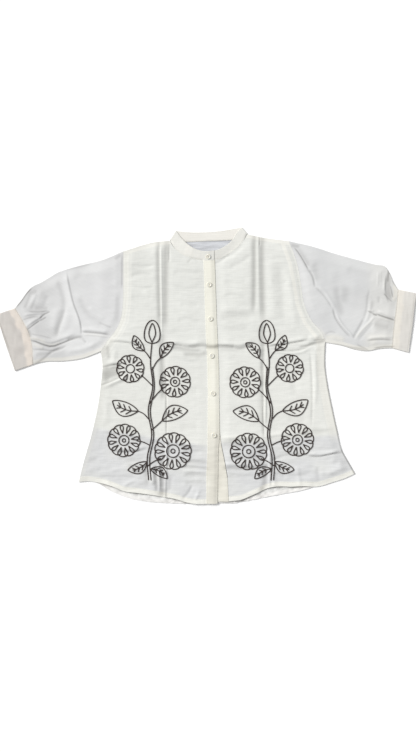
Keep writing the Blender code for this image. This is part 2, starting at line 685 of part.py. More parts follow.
def build_button(button, base):
    """A dished disc with two thread holes, one above the other."""
    sides = [(BUTTON_RADIUS - 0.8, 0), (BUTTON_RADIUS, 0.7), (BUTTON_RADIUS, 1.5), (BUTTON_RADIUS - 0.7, BUTTON_THICK)]
    sides += [(BUTTON_RADIUS - 1.8, BUTTON_THICK), (BUTTON_RADIUS - 2.4, BUTTON_THICK - 0.5)]
    count, hole_count = 20, 8
    holes = [circle(BUTTON_HOLE, hole_count, side * BUTTON_HOLE_SPREAD) for side in (1, -1)]
    rings = [np.c_[circle(radius, count), np.full(count, height)] for radius, height in sides]
    points = list(np.concatenate(rings))
    faces = []
    for i in range(len(rings) - 1):
        for j in range(count):
            k = (j + 1) % count
            faces.append((i * count + j, i * count + k, (i + 1) * count + k, (i + 1) * count + j))
    hole_starts = []
    for height in (0, sides[-1][1]):
        hole_starts.append(len(points))
        for hole in holes:
            points += list(np.c_[hole, np.full(hole_count, height)])
    for end, (ring, start) in enumerate(zip((0, (len(rings) - 1) * count), hole_starts)):
        loops = [[tuple(points[ring + j]) for j in range(count)]]
        names = [ring + j for j in range(count)]
        for h in range(2):
            loops.append([tuple(points[start + h * hole_count + j]) for j in reversed(range(hole_count))])
            names += [start + h * hole_count + j for j in reversed(range(hole_count))]
        for triangle in tessellate_polygon(loops):
            faces.append(tuple(names[k] for k in triangle))
    for h in range(2):
        for j in range(hole_count):
            k = (j + 1) % hole_count
            low, high = hole_starts[0] + h * hole_count, hole_starts[1] + h * hole_count
            faces.append((low + k, low + j, high + j, high + k))
    place = np.array([button.across, button.along, base])
    add_piece(button.name, np.array(points) + place, faces, (0.82, 0.81, 0.76), 0.3)


for shirt_button in BUTTONS:
    reach = np.linspace(-BUTTON_RADIUS, BUTTON_RADIUS, 7)
    grid_x, grid_y = np.meshgrid(shirt_button.across + reach, shirt_button.along + 2 * reach)
    under = placket_floor(grid_x, grid_y) + STRIP_WALL * steepness(grid_x, grid_y)
    build_button(shirt_button, float(under.max()) + GAP)
build_button(COLLAR_BUTTON, COLLAR_BUTTON_BASE)
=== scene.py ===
import math
from collections import namedtuple

import bpy
import numpy as np
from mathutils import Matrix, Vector


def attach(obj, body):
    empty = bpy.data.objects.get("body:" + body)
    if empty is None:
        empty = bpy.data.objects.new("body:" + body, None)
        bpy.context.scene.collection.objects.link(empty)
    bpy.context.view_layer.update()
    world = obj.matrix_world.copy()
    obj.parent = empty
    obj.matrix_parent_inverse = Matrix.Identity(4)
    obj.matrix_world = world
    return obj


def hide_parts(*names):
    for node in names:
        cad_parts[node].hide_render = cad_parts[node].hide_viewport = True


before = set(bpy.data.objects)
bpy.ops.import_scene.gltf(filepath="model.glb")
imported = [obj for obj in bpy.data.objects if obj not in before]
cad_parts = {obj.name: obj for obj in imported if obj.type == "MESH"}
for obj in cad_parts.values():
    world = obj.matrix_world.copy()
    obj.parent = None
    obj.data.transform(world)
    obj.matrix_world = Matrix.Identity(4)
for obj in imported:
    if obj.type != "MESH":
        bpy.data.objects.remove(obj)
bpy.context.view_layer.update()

# Camera, floor and light
# The shirt is seen from straight above, lying on a plain white table, under a broad soft light from the upper
# left
MM = 0.001
MIDDLE = np.array([-3.75, 1.25])  # the outline's middle in the pattern frame: x is across and y along
LOOKS_AT = np.array([0.0, -24.0])  # the place under the camera, in the same frame
PIXEL_SIZE = 2.4  # millimetres of table to a pixel of the photo
PICTURE_HEIGHT = 752  # pixels
FIELD = PIXEL_SIZE * PICTURE_HEIGHT
LENS, SENSOR = 50.0, 36.0
TABLE_DROP = 0.0004


def add_object(name, data):
    """A new object in the scene, unturned at the origin."""
    item = bpy.data.objects.new(name, data)
    bpy.context.scene.collection.objects.link(item)
    return item


def new_material(name, sockets):
    """A material with values on the named sockets of its shader. Its node tree and the shader come with
    it."""
    material = bpy.data.materials.new(name)
    material.use_nodes = True
    shader = material.node_tree.nodes["Principled BSDF"]
    for socket, value in sockets.items():
        shader.inputs[socket].default_value = value
    return material, material.node_tree, shader


camera_data = bpy.data.cameras.new("camera")
camera_data.lens = LENS
camera_data.sensor_width = SENSOR
camera = add_object("camera", camera_data)
camera.location = (*((LOOKS_AT - MIDDLE) * MM), LENS / SENSOR * FIELD * MM)
bpy.context.scene.camera = camera
bpy.context.scene.view_settings.view_transform = "Standard"

world = bpy.data.worlds.new("studio")
bpy.context.scene.world = world
world.use_nodes = True
world.node_tree.nodes["Background"].inputs["Color"].default_value = (0.985, 0.99, 1.0, 1)
world.node_tree.nodes["Background"].inputs["Strength"].default_value = 0.52

window_light = bpy.data.lights.new("window", "SUN")
window_light.energy = 3.0
window_light.angle = math.radians(24)
window_light.color = (1.0, 0.995, 0.985)
window = add_object("window", window_light)
window.rotation_euler = Vector((0.66, -0.42, -0.62)).to_track_quat("-Z", "Y").to_euler()

floor_mesh = bpy.data.meshes.new("floor")
floor_mesh.from_pydata([(-40, -40, 0), (40, -40, 0), (40, 40, 0), (-40, 40, 0)], [], [(0, 1, 2, 3)])
floor = add_object("floor", floor_mesh)
floor.location = (0, 0, -TABLE_DROP)
floor_paint = new_material("white_table", {"Base Color": (0.97, 0.97, 0.97, 1), "Roughness": 0.9})[0]
floor_mesh.materials.append(floor_paint)


# Back
# One panel of thin off-white slub cotton and linen, flat on the table. It shows inside the neck and below the
# fronts, where its narrow turned hem hangs lower than theirs.
NECK_BACK = [(-93, 300), (-55, 297), (0, 299), (30, 300), (58, 302), (95, 316)]
HEM_BACK = [
    (-310, -278), (-290, -275), (-262, -282), (-240, -296), (-200, -313), (-160, -323), (-110, -328),
    (-40, -330), (23, -330), (60, -329), (100, -322), (150, -312), (200, -303), (240, -294), (262, -287),
    (300, -276), (352, -258),
]
WALL = 1.0
GAP = 0.3
LATTICE = 256
ARM_PIT = 0.566  # its share of the way from the foot of the side to the shoulder's end

# The lines of each half of the shirt, and how far across its shoulder meets the neck. The pressed line's
# points are (along, across), as those of the strips are.
Half = namedtuple(
    "Half", "hand corner side armhole shoulder hem pressed sleeve_top sleeve_foot cuff_seam wrist"
)
RIGHT = Half(
    hand="right",
    corner=-93.0,
    side=[(-310, -278), (-298, -230), (-278, -160), (-263, -90), (-257, -45), (-253, 0), (-257, 35)],
    armhole=[(-257, 35), (-240, 62), (-222, 85), (-210, 110), (-204, 150), (-203, 200), (-203, 275)],
    shoulder=[(-203, 275), (-120, 298), (-93, 300)],
    hem=[
        (-310, -278), (-290, -276), (-260, -280), (-230, -288), (-200, -300), (-170, -304), (-140, -308),
        (-110, -313), (-80, -318), (-50, -327), (-30, -330), (8, -330),
    ],
    pressed=[(-330, -105), (-240, -105), (-180, -103), (-100, -102), (-50, -105), (100, -108), (300, -112)],
    sleeve_top=[
        (-203, 275), (-250, 255), (-300, 242), (-340, 231), (-360, 224), (-380, 212), (-400, 200),
        (-422, 189), (-434, 176), (-446, 159), (-463, 138),
    ],
    sleeve_foot=[(-257, 35), (-300, 19), (-350, 12), (-390, 11), (-405, 8), (-420, 4)],
    cuff_seam=[(-463, 138), (-445, 110), (-430, 80), (-422, 50), (-420, 4)],
    wrist=[(-507, 123), (-488, 62), (-463, -11)],
)
LEFT = Half(
    hand="left",
    corner=95.0,
    side=[(352, -258), (335, -228), (322, -205), (308, -150), (297, -100), (287, -50), (280, 0), (281, 57)],
    armhole=[(281, 57), (275, 75), (247, 110), (230, 150), (222, 200), (212, 250), (194, 299)],
    shoulder=[(95, 316), (120, 310), (194, 299)],
    hem=[
        (50, -324), (80, -320), (100, -312), (120, -303), (145, -292), (160, -289), (200, -289), (230, -288),
        (260, -289), (300, -278), (325, -270), (352, -258),
    ],
    pressed=[(-330, 141), (-150, 135), (0, 133), (100, 128), (200, 122), (310, 119)],
    sleeve_top=[
        (194, 299), (250, 286), (300, 270), (350, 256), (400, 243), (424, 238), (435, 222), (443, 203),
        (455, 183),
    ],
    sleeve_foot=[(281, 57), (320, 50), (350, 41), (383, 37), (410, 42), (441, 44)],
    cuff_seam=[(455, 183), (451, 140), (447, 110), (443, 75), (441, 44)],
    wrist=[(499, 174), (491, 105), (481, 33)],
)


def ease(t):
    """0 below 0, 1 above 1, and 3t^2 - 2t^3 between."""
    t = np.clip(t, 0, 1)
    return t * t * (3 - 2 * t)


def bell(t):
    """exp(-t^2): 1 at 0, and next to nothing beyond 2 on either side."""
    return np.exp(-(t**2))


def run_of(line):
    """How far along a line each of its points lies."""
    return np.r_[0, np.cumsum(np.linalg.norm(np.diff(line, axis=0), axis=1))]


def points_at(line, run, at):
    """The line's points at the given distances along it."""
    return np.stack([np.interp(at, run, column) for column in line.T], axis=1)


def smooth(rows, count):
    """count + 1 points evenly spaced along the cubic curve through the rows."""
    rows = np.asarray(rows, float)
    chord = run_of(rows[:, :2])
    slope = np.gradient(rows, chord, axis=0)
    at = np.linspace(0, chord[-1], 16 * len(rows))
    i = np.clip(np.searchsorted(chord, at, side="right") - 1, 0, len(rows) - 2)
    span = (chord[i + 1] - chord[i])[:, None]
    t = (at - chord[i])[:, None] / span
    fine = (
        (2 * t**3 - 3 * t**2 + 1) * rows[i]
        + (t**3 - 2 * t**2 + t) * span * slope[i]
        + (3 * t**2 - 2 * t**3) * rows[i + 1]
        + (t**3 - t**2) * span * slope[i + 1]
    )
    run = run_of(fine[:, :2])
    return points_at(fine, run, np.linspace(0, run[-1], count + 1))


def between(low, high, v):
    return low + v * (high - low)


def across_at(rows, along):
    """Where an upright outline stands at the given distance along the shirt."""
    fine = smooth(rows, 240)
    return np.interp(along, fine[:, 1], fine[:, 0])


def along_at(rows, across):
    """Where a level outline, such as a hem, lies at the given distance across the shirt."""
    fine = smooth(rows, 240)
    return np.interp(across, fine[:, 0], fine[:, 1])


def distance(x, y, line):
    """Distance from each point to a broken line."""
    best = np.full(np.shape(x), 1e9)
    for (ax, ay), (bx, by) in zip(line, line[1:]):
        dx, dy = bx - ax, by - ay
        t = np.clip(((x - ax) * dx + (y - ay) * dy) / (dx * dx + dy * dy), 0, 1)
        best = np.minimum(best, np.hypot(x - ax - t * dx, y - ay - t * dy))
    return best


def crinkle(x, y, size_x, size_y, seed):
    """Smooth random relief from -1 to 1: random heights size_x by size_y mm apart, joined by 3t^2 - 2t^3."""
    lattice = np.random.default_rng(seed).uniform(-1, 1, (LATTICE, LATTICE))
    a, b = x / size_x + LATTICE / 2, y / size_y + LATTICE / 2
    i, j = np.floor(a).astype(int), np.floor(b).astype(int)
    s, t = ease(a - i), ease(b - j)
    next_i, next_j = (i + 1) % LATTICE, (j + 1) % LATTICE
    i, j = i % LATTICE, j % LATTICE
    near = lattice[i, j] * (1 - s) + lattice[next_i, j] * s
    far = lattice[i, next_j] * (1 - s) + lattice[next_i, next_j] * s
    return near * (1 - t) + far * t


def side_of(half, v):
    """A panel's outer edge: the side seam below the arm pit, the armhole above it."""
    along = between(half.side[0][1], half.armhole[-1][1], v)
    return np.where(v <= ARM_PIT, across_at(half.side, along), across_at(half.armhole, along))


def panel_plan(u, v, lines, hem, top):
    """Plan of a panel: x runs evenly between guide lines at whole u, and y = hem + v * (top - hem) on each
    column."""
    u = np.broadcast_to(u, (len(v), len(u)))
    x = np.zeros(u.shape)
    for k, (left, right) in enumerate(zip(lines, lines[1:])):
        inside = (u >= k) & (u <= k + 1)
        x = np.where(inside, left[:, None] + (u - k) * (right - left)[:, None], x)
    low, high = hem(x[0]), top(x[-1])
    return x, low + v[:, None] * (high - low)


def wall_faces(rows, columns):
    """Faces of a wall between an outer and an inner grid, with its rim."""
    k = np.arange(rows * columns).reshape(rows, columns)
    outer = np.stack([k[:-1, :-1], k[:-1, 1:], k[1:, 1:], k[1:, :-1]], axis=-1).reshape(-1, 4)
    rim = np.r_[k[0], k[1:, -1], k[-1, -2::-1], k[-2:0:-1, 0]]
    after = np.roll(rim, -1)
    size = rows * columns
    edge = np.stack([after, rim, rim + size, after + size], axis=1)
    return np.vstack([outer, outer[:, ::-1] + size, edge])


def tube_faces(stations, around):
    """Faces of an open tube between outer and inner rings, with a rim at each end."""
    k = np.arange(stations * around).reshape(stations, around)
    n = np.roll(k, -1, axis=1)
    outer = np.stack([k[:-1], n[:-1], n[1:], k[1:]], axis=-1).reshape(-1, 4)
    size = stations * around
    start = np.stack([n[0], k[0], k[0] + size, n[0] + size], axis=1)
    end = np.stack([k[-1], n[-1], n[-1] + size, k[-1] + size], axis=1)
    return np.vstack([outer, outer[:, ::-1] + size, start, end])


def add_piece(name, points, polygons, material, sharp_from=None):
    """A smooth piece on the shirt, in world metres, from points in pattern millimetres."""
    mesh = bpy.data.meshes.new(name)
    mesh.from_pydata(((points - (*MIDDLE, 0)) * MM).tolist(), [], polygons)
    mesh.polygons.foreach_set("use_smooth", np.ones(len(mesh.polygons), bool))
    if sharp_from:
        mesh.set_sharp_from_angle(angle=math.radians(sharp_from))
    mesh.materials.append(material)
    piece = add_object(name, mesh)
    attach(piece, "root")
    return piece


def add_cloth(name, points, faces, material, masks, sharp_from=60):
    """A piece of cloth, its faces turned outward, with its masks as attributes from 0 to 1."""
    points = points.reshape(-1, 3)
    a, b, c, d = np.moveaxis(points[faces], 1, 0)
    six_volumes = np.einsum("ij,ij->i", a, np.cross(b, c)) + np.einsum("ij,ij->i", a, np.cross(c, d))
    if six_volumes.sum() < 0:
        faces = faces[:, ::-1]
    piece = add_piece(name, points, faces.tolist(), material, sharp_from)
    for mask, values in masks.items():
        layer = piece.data.attributes.new(mask, "FLOAT", "POINT")
        layer.data.foreach_set("value", np.clip(values, 0, 1).astype(np.float32).ravel())
    return piece


def add_wall(name, x, y, over, under, material, masks, masks_under=1.0, sharp_from=60):
    """A wall of cloth between two heights over one plan. masks_under is how much of its masks its underside
    has."""
    points = np.stack([np.stack([x, y, z], axis=2) for z in (over, under)])
    masks = {mask: np.stack([values, masks_under * values]) for mask, values in masks.items()}
    return add_cloth(name, points, wall_faces(*x.shape), material, masks, sharp_from)


def new_group(name, inputs, outputs):
    """An empty shader node group with the named sockets."""
    group = bpy.data.node_groups.new(name, "ShaderNodeTree")
    for label, kind, value in inputs:
        socket = group.interface.new_socket(name=label, in_out="INPUT", socket_type=kind)
        socket.default_value = value
    for label, kind in outputs:
        group.interface.new_socket(name=label, in_out="OUTPUT", socket_type=kind)
    return group, group.nodes.new("NodeGroupInput"), group.nodes.new("NodeGroupOutput")


def feed(tree, socket, value):
    """Links a socket to a socket, or puts a number or a colour on it."""
    if hasattr(value, "is_output"):
        tree.links.new(value, socket)
    else:
        socket.default_value = value


def mixed(tree, kind, factor, a, b):
    """A colour mix node of the given kind."""
    node = tree.nodes.new("ShaderNodeMix")
    node.data_type = "RGBA"
    node.blend_type = kind
    for place, value in ((0, factor), (6, a), (7, b)):
        feed(tree, node.inputs[place], value)
    return node.outputs[2]


def maths(tree, operation, *values):
    """A maths node."""
    node = tree.nodes.new("ShaderNodeMath")
    node.operation = operation
    for socket, value in zip(node.inputs, values):
        feed(tree, socket, value)
    return node.outputs[0]


def plus(tree, a, b):
    return maths(tree, "ADD", a, b)


def times(tree, a, b):
    return maths(tree, "MULTIPLY", a, b)


def noise(tree, vector, scale, detail=2.0, stretch=(1, 1, 1), shift=(0, 0, 0), turn=0.0):
    """A noise texture from 0 to 1, its pattern stretched, shifted and turned on the object."""
    place = tree.nodes.new("ShaderNodeMapping")
    place.inputs["Location"].default_value = shift
    place.inputs["Rotation"].default_value = (0, 0, turn)
    place.inputs["Scale"].default_value = stretch
    tree.links.new(vector, place.inputs["Vector"])
    node = tree.nodes.new("ShaderNodeTexNoise")
    node.inputs["Scale"].default_value = scale
    node.inputs["Detail"].default_value = detail
    tree.links.new(place.outputs[0], node.inputs["Vector"])
    return node.outputs["Fac"]


def build_slub_weave():
    """Plain weave with thick and thin weft threads: fine crossing threads, and long uneven slubs along the
    weft."""
    group, entry, result = new_group(
        "slub_weave",
        [
            ("Vector", "NodeSocketVector", (0, 0, 0)),
            ("Threads per metre", "NodeSocketFloat", 1200.0),
            ("Slub", "NodeSocketFloat", 0.5),
        ],
        [("Tone", "NodeSocketFloat"), ("Height", "NodeSocketFloat")],
    )
    vector = entry.outputs["Vector"]
    slub_a = noise(group, vector, 26.0, 3.0, (1.0, 16.0, 1.0))
    slub_b = noise(group, vector, 60.0, 2.0, (1.0, 9.0, 1.0), (3.1, 1.7, 0))
    warp = noise(group, vector, 70.0, 2.0, (7.0, 0.8, 1.0), (5.3, 2.1, 0))
    split = group.nodes.new("ShaderNodeSeparateXYZ")
    group.links.new(vector, split.inputs[0])
    threads = []
    for axis in (0, 1):
        count = times(group, split.outputs[axis], entry.outputs["Threads per metre"])
        threads.append(maths(group, "SINE", times(group, count, math.pi)))
    crossing = times(group, threads[0], threads[1])
    both = plus(group, slub_a, times(group, slub_b, 0.6))
    both = plus(group, both, times(group, warp, 0.35))
    centred = maths(group, "SUBTRACT", both, 0.975)
    tone = times(group, centred, entry.outputs["Slub"])
    group.links.new(plus(group, tone, 1.0), result.inputs["Tone"])
    height = plus(group, times(group, centred, 0.9), times(group, crossing, 0.06))
    group.links.new(height, result.inputs["Height"])
    return group


slub_weave = build_slub_weave()


def add_bump(tree, shader, height, depth):
    """Relief in the shader's normals, depth metres for a height of 1."""
    relief = tree.nodes.new("ShaderNodeBump")
    relief.inputs["Distance"].default_value = depth
    relief.inputs["Strength"].default_value = 1.0
    tree.links.new(height, relief.inputs["Height"])
    tree.links.new(relief.outputs["Normal"], shader.inputs["Normal"])


def cloth_material(
    name, base, cream, grey_tone_and_shade, roughness, slub, bump, turn=0.0, mottle=0.03, threads=1200.0
):
    """Woven cloth. Its masks are cream, where a seam allowance lies under it and where folds paint a
    highlight; a greyer colour, random tone on the sleeves, collar and cuffs and painted shade on the lower
    fronts, the strips' lower ends and inside the back's neck; and shade, painted shade in folds and along
    shadowed edges."""
    sockets = {"Roughness": roughness, "Sheen Weight": 0.15, "Specular IOR Level": 0.25}
    material, tree, shader = new_material(name, sockets)
    place = tree.nodes.new("ShaderNodeTexCoord")
    turned = tree.nodes.new("ShaderNodeMapping")
    turned.inputs["Rotation"].default_value = (0, 0, turn)
    tree.links.new(place.outputs["Object"], turned.inputs["Vector"])
    weave = tree.nodes.new("ShaderNodeGroup")
    weave.node_tree = slub_weave
    weave.inputs["Threads per metre"].default_value = threads
    weave.inputs["Slub"].default_value = slub
    tree.links.new(turned.outputs[0], weave.inputs["Vector"])

    masks = {}
    for mask in ("cream", "grey_tone_and_shade", "shade"):
        node = tree.nodes.new("ShaderNodeAttribute")
        node.attribute_name = mask
        masks[mask] = node.outputs["Fac"]
    patch = noise(tree, turned.outputs[0], 9.0, 3.0, shift=(2.3, 7.1, 0))
    patch = plus(tree, times(tree, maths(tree, "SUBTRACT", patch, 0.5), mottle * 4), 1.0)
    colour = mixed(tree, "MIX", masks["grey_tone_and_shade"], (*base, 1), (*grey_tone_and_shade, 1))
    colour = mixed(tree, "MIX", masks["cream"], colour, (*cream, 1))
    tone = times(tree, weave.outputs["Tone"], patch)
    grey = tree.nodes.new("ShaderNodeCombineColor")
    for socket in grey.inputs:
        tree.links.new(tone, socket)
    colour = mixed(tree, "MULTIPLY", 1.0, colour, grey.outputs[0])
    # painted shade: the shade mask darkens the colour towards this dark grey
    colour = mixed(tree, "MULTIPLY", masks["shade"], colour, (0.20, 0.19, 0.18, 1))
    tree.links.new(colour, shader.inputs["Base Color"])
    add_bump(tree, shader, weave.outputs["Height"], bump)
    return material


body_cloth = cloth_material(
    "body_cloth", (0.722, 0.727, 0.692), (0.81, 0.802, 0.748), (0.655, 0.66, 0.66), 0.85, 0.19, 0.00022
)
back_cloth = cloth_material(
    "back_cloth", (0.80, 0.80, 0.78), (0.86, 0.845, 0.82), (0.63, 0.645, 0.675), 0.85, 0.16, 0.00022
)


def build_back():
    """The rows of its grid are closest at the hem and inside the neck, where it shows."""
    v = np.r_[0:0.055:26j, 0.085:0.85:24j, 0.87:1:52j]
    lines = [
        side_of(RIGHT, v), RIGHT.corner - 12 * (1 - v), 0 * v, LEFT.corner + 20 * (1 - v), side_of(LEFT, v)
    ]

    def top(across):
        ends = np.where(across < 0, along_at(RIGHT.shoulder, across), along_at(LEFT.shoulder, across))
        at_neck = (across > RIGHT.corner) & (across < LEFT.corner)
        return np.where(at_neck, along_at(NECK_BACK, across), ends)

    x, y = panel_plan(np.linspace(0, 4, 161), v, lines, lambda across: along_at(HEM_BACK, across), top)
    from_hem = y - along_at(HEM_BACK, x[0])
    below = np.where(x < 30, along_at(RIGHT.hem, x), along_at(LEFT.hem, x)) - y
    showing = ease(below / 3) * ease((np.abs(x - 15) - 30) / 20)
    neck = ease((y - 262) / 15) * ease((90 - np.abs(x)) / 20)
    streak = crinkle(x - 2 * y, y, 26, 3, 4) + 0.6 * crinkle(x, y, 14, 2.4, 5)
    rumple = crinkle(x + 0.8 * y, y - 0.5 * x, 7, 14, 3) + 0.6 * crinkle(x - 1.3 * y, y, 5, 9, 7)
    hem = 0.35 * ease((9 - from_hem) / 1.5) + showing * (0.5 + 0.9 * rumple)
    over = WALL + neck * (0.35 + 0.25 * streak) + np.maximum(hem, 0)
    # painted shadow of the fronts' hem just below it; painted shade inside the neck, greyer there too, and in
    # the hem's rumples
    shadow = (0.34 + 0.3 * crinkle(x, y, 18, 18, 6)) * bell((below - 1) / 3.6) * (below > -6)
    shade = neck * (0.10 + 0.16 * streak + 0.12 * ease((y - 292) / 8)) + shadow
    shade = shade + 0.22 * showing * (0.25 - rumple)
    masks = {"cream": 0.8 * ease((10 - from_hem) / 3), "grey_tone_and_shade": neck, "shade": shade}
    piece = add_wall("back_panel", x, y, over, 0 * x, back_cloth, masks, masks_under=0.0, sharp_from=50)
    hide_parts("back")


build_back()


# Fronts
# Two panels of the same cloth, lying over the back. Each has a line pressed down its length from the middle
# of the shoulder, a narrow turned hem, and the creases of a shirt that was folded.
NECK_FRONT = [
    (-93, 300), (-80, 280), (-60, 265), (-30, 255), (-10, 252), (17, 253), (40, 262), (70, 282), (88, 303),
    (95, 316),
]
PLACKET_SEAM = [(-331, -4), (-260, -4), (-200, -1), (-65, 0), (0, -1), (100, -6), (200, -9), (253, -11)]
UNDER_OUTER = [(-331, 50), (-270, 47), (-230, 40), (-190, 32), (-165, 29), (255, 17)]
PLACKET_LAP = 8.0  # how far the right front reaches under the placket
PLACKET_RISE = 24.0
LOFT = 3.4  # what lies hollow between the back and the upper layer
EDGE_FALL = 26.0
NECK_TUCK = 1.9  # how far the fronts reach past their neck line towards the collar
SEAM_FALL = 20.0
FRONT_COLUMNS = np.r_[0:0.9:58j, 0.91:1:10j, 1.06:2:16j, 2.02:3:50j]  # closest beside the pressed line
FRONT_ROWS = 262

CLOSED_EDGES = [
    RIGHT.side, LEFT.side, RIGHT.shoulder, LEFT.shoulder, RIGHT.sleeve_top, LEFT.sleeve_top,
    RIGHT.sleeve_foot, LEFT.sleeve_foot, RIGHT.hem[:3], LEFT.hem[-4:],
]
SEWN_EDGES = [NECK_FRONT, RIGHT.cuff_seam, LEFT.cuff_seam, RIGHT.armhole, LEFT.armhole]

# Each fold follows a smooth line through its path, upwards or to the right. A negative height is a trough.
# shade is how dark the painted shade in the fold's depth is, and cream how much cream is painted there: a
# doubled edge showing through, and on some ridges a painted highlight. lean nearer 1 makes the side on its
# right hand, east or south, the steeper one. sharp 2 is a round section and 1 a pinched one.
# The last four are left out of a row where they are 0, 0, 0 and 2.
Fold = namedtuple("Fold", "path width height shade cream lean sharp", defaults=(0, 0, 0, 2))
RIGHT_FRONT_FOLDS = [
    # the pressed line: valley, thin ridge, valley
    ([(-114, 80), (-117, 200), (-119, 330)], 5, -2, 0.28, 0, 0.35),
    ([(-109.5, 40), (-111.5, 200), (-112.5, 330)], 1.8, 0.9, 0, 0, 0, 1.4),
    ([(-101.5, 70), (-100, 200), (-98, 330)], 8.5, -2.4, 0.3),
    ([(-93, 246), (-93, 298)], 2, -1.6, 0.3),
    ([(-112, 38), (-104, 80)], 8, -1.5, 0.16),
    ([(-105, -90), (-107, -30), (-109, 40)], 7, -2.6, 0.28),
    ([(-99, -178), (-100, -70), (-102, 10)], 2, -1.6, 0.28),
    ([(-104, -345), (-101, -260), (-98, -160)], 2, 2.6, 0, 0, 0, 1.4),
    ([(-108, -302), (-111, -222)], 7, -2.6, 0.36),
    ([(-121, -306), (-126, -234)], 5, -2.4, 0.3),
    ([(-116, -304), (-118, -230)], 2.5, 2.6, 0, 0, 0, 1.4),
    ([(-112, -320), (-104, -284)], 11, -2.2, 0.5),
    ([(-132, -287), (-134, -238)], 5, 2.2, 0, 0, 0.3),
    ([(-92, -302), (-88, -260)], 6, -1.2, 0.12),
    ([(-143, -292), (-147, -234)], 6, -1.4, 0.14),
    # the crease across the chest
    ([(-100, 55), (-76, 57), (-44, 53), (-18, 56), (8, 55)], 4.5, 2, 0, 0, 0.6),
    ([(-104, 50), (-84, 51), (-58, 48)], 2, -1.8, 0.3),
    ([(-70, 49), (-46, 45), (-22, 46)], 2.6, -1.8, 0.2),
    ([(-50, 45), (-30, 46), (-12, 49), (8, 48)], 3.6, -2, 0.36),
    ([(-90, 46), (-50, 39), (-8, 36)], 6.5, -2.4, 0.24),
    ([(-62, 28), (-38, 27), (-14, 28), (4, 33)], 6, -1.6, 0.3),
    ([(-97, 30), (-60, 22), (-16, 18)], 6, 1.2),
    ([(-250, 66), (-205, 62), (-160, 55), (-134, 50)], 4, 1.8, 0, 0, 0.4),
    ([(-240, 58), (-200, 56), (-154, 49)], 2, -1.4, 0.14),
    # the tuck of cloth drawn under at the side, and what it drags
    ([(-262, -27), (-235, -19), (-202, -8)], 13, -4.2, 0.32, 0, 0, 3),
    ([(-242, -44), (-243, 4)], 7, -1.2, 0.18),
    ([(-264, -53), (-230, -41), (-194, -24)], 4.5, 3.4, 0, 0, -0.3),
    ([(-262, -47), (-230, -36), (-198, -20)], 2, -2.6, 0.36),
    ([(-264, 3), (-230, 7), (-194, 10)], 4, 2.4, 0, 0, 0.5),
    ([(-258, -3), (-230, 2), (-200, 6)], 2, -2, 0.34),
    ([(-236, 14), (-241, 50)], 5, -1.6, 0.2),
    ([(-226, 6), (-222, 42)], 6, 1.4),
    ([(-250, 38), (-230, 64)], 5, 1.6),
    ([(-240, -140), (-250, -60)], 8, 0.9),
    # the crease above the hem and the rumples below it
    ([(-264, -153), (-205, -161), (-146, -172)], 5, 1.8, 0, 0, 0.4),
    ([(-154, -171), (-70, -185), (8, -192)], 5, 2, 0, 0, 0.4),
    ([(-64, -202), (-30, -204), (4, -204)], 7, -1.6, 0.1),
    ([(-70, -228), (-30, -230), (6, -232)], 5, -2, 0.22),
    ([(-64, -241), (-30, -243), (6, -246)], 4, -1.8, 0.2),
    ([(-64, -252), (-30, -252), (4, -254)], 3, 1.6, 0, 0, 0.3),
    ([(-60, -262), (-25, -261), (4, -263)], 5, -1.5, 0.13),
    ([(-58, -283), (-20, -280), (4, -282)], 6, -1, 0.07),
    ([(-226, -206), (-180, -205), (-141, -199)], 3, -1.8, 0.18),
    ([(-226, -199), (-180, -198), (-144, -192)], 4, 1.6, 0, 0, 0.4),
    ([(-194, -238), (-160, -242), (-130, -238)], 3.5, -1.6, 0.16),
    ([(-240, -252), (-200, -246), (-156, -250)], 5, 1.4),
    ([(-264, -268), (-215, -264), (-168, -268)], 4, -1.2, 0.08),
    ([(-219, -222), (-180, -226), (-146, -220)], 6, -1.2, 0.06),
    ([(-206, -290), (-180, -276), (-152, -282)], 4, 1.4),
    ([(-292, -230), (-260, -224)], 6, -1.2, 0.06),
    ([(-302, -250), (-258, -246)], 5, 1.2),
    ([(-62, -320), (-44, -300), (-36, -282)], 4, -1.4, 0.1),
    ([(-32, -324), (-20, -298)], 4, 1.3),
    ([(-70, -150), (-16, -146)], 10, -0.8, 0.03),
    ([(-62, -60), (-18, -64)], 9, -0.7, 0.03),
    # soft swells of the shoulder and chest
    ([(-50, 245), (-37, 257), (-20, 245)], 2.5, -1.3, 0.08),
    ([(-192, 262), (-128, 272)], 7, -0.8, 0.03),
    ([(-168, 318), (-170, 262), (-172, 200)], 22, 0, 0.1),
    ([(-188, 214), (-160, 221), (-128, 216)], 5, -1, 0.04),
    ([(-186, 240), (-160, 236), (-126, 242)], 4, -0.9, 0.04),
    ([(-186, 166), (-132, 160)], 7, -0.9, 0.03),
    ([(-180, 190), (-156, 186), (-126, 192)], 4, -0.8, 0.04),
    ([(-140, 150), (-150, 190)], 9, 0.9),
    ([(-48, 80), (-60, 180)], 22, 1),
    ([(-68, 150), (-18, 146)], 7, -0.9, 0.03),
    ([(-76, 108), (-40, 112), (-12, 104)], 7, -1, 0.04),
    ([(-86, 222), (-50, 226), (-16, 218)], 6, -0.8, 0.03),
    ([(-84, 190), (-50, 184), (-14, 190)], 5, -0.7, 0.03),
]
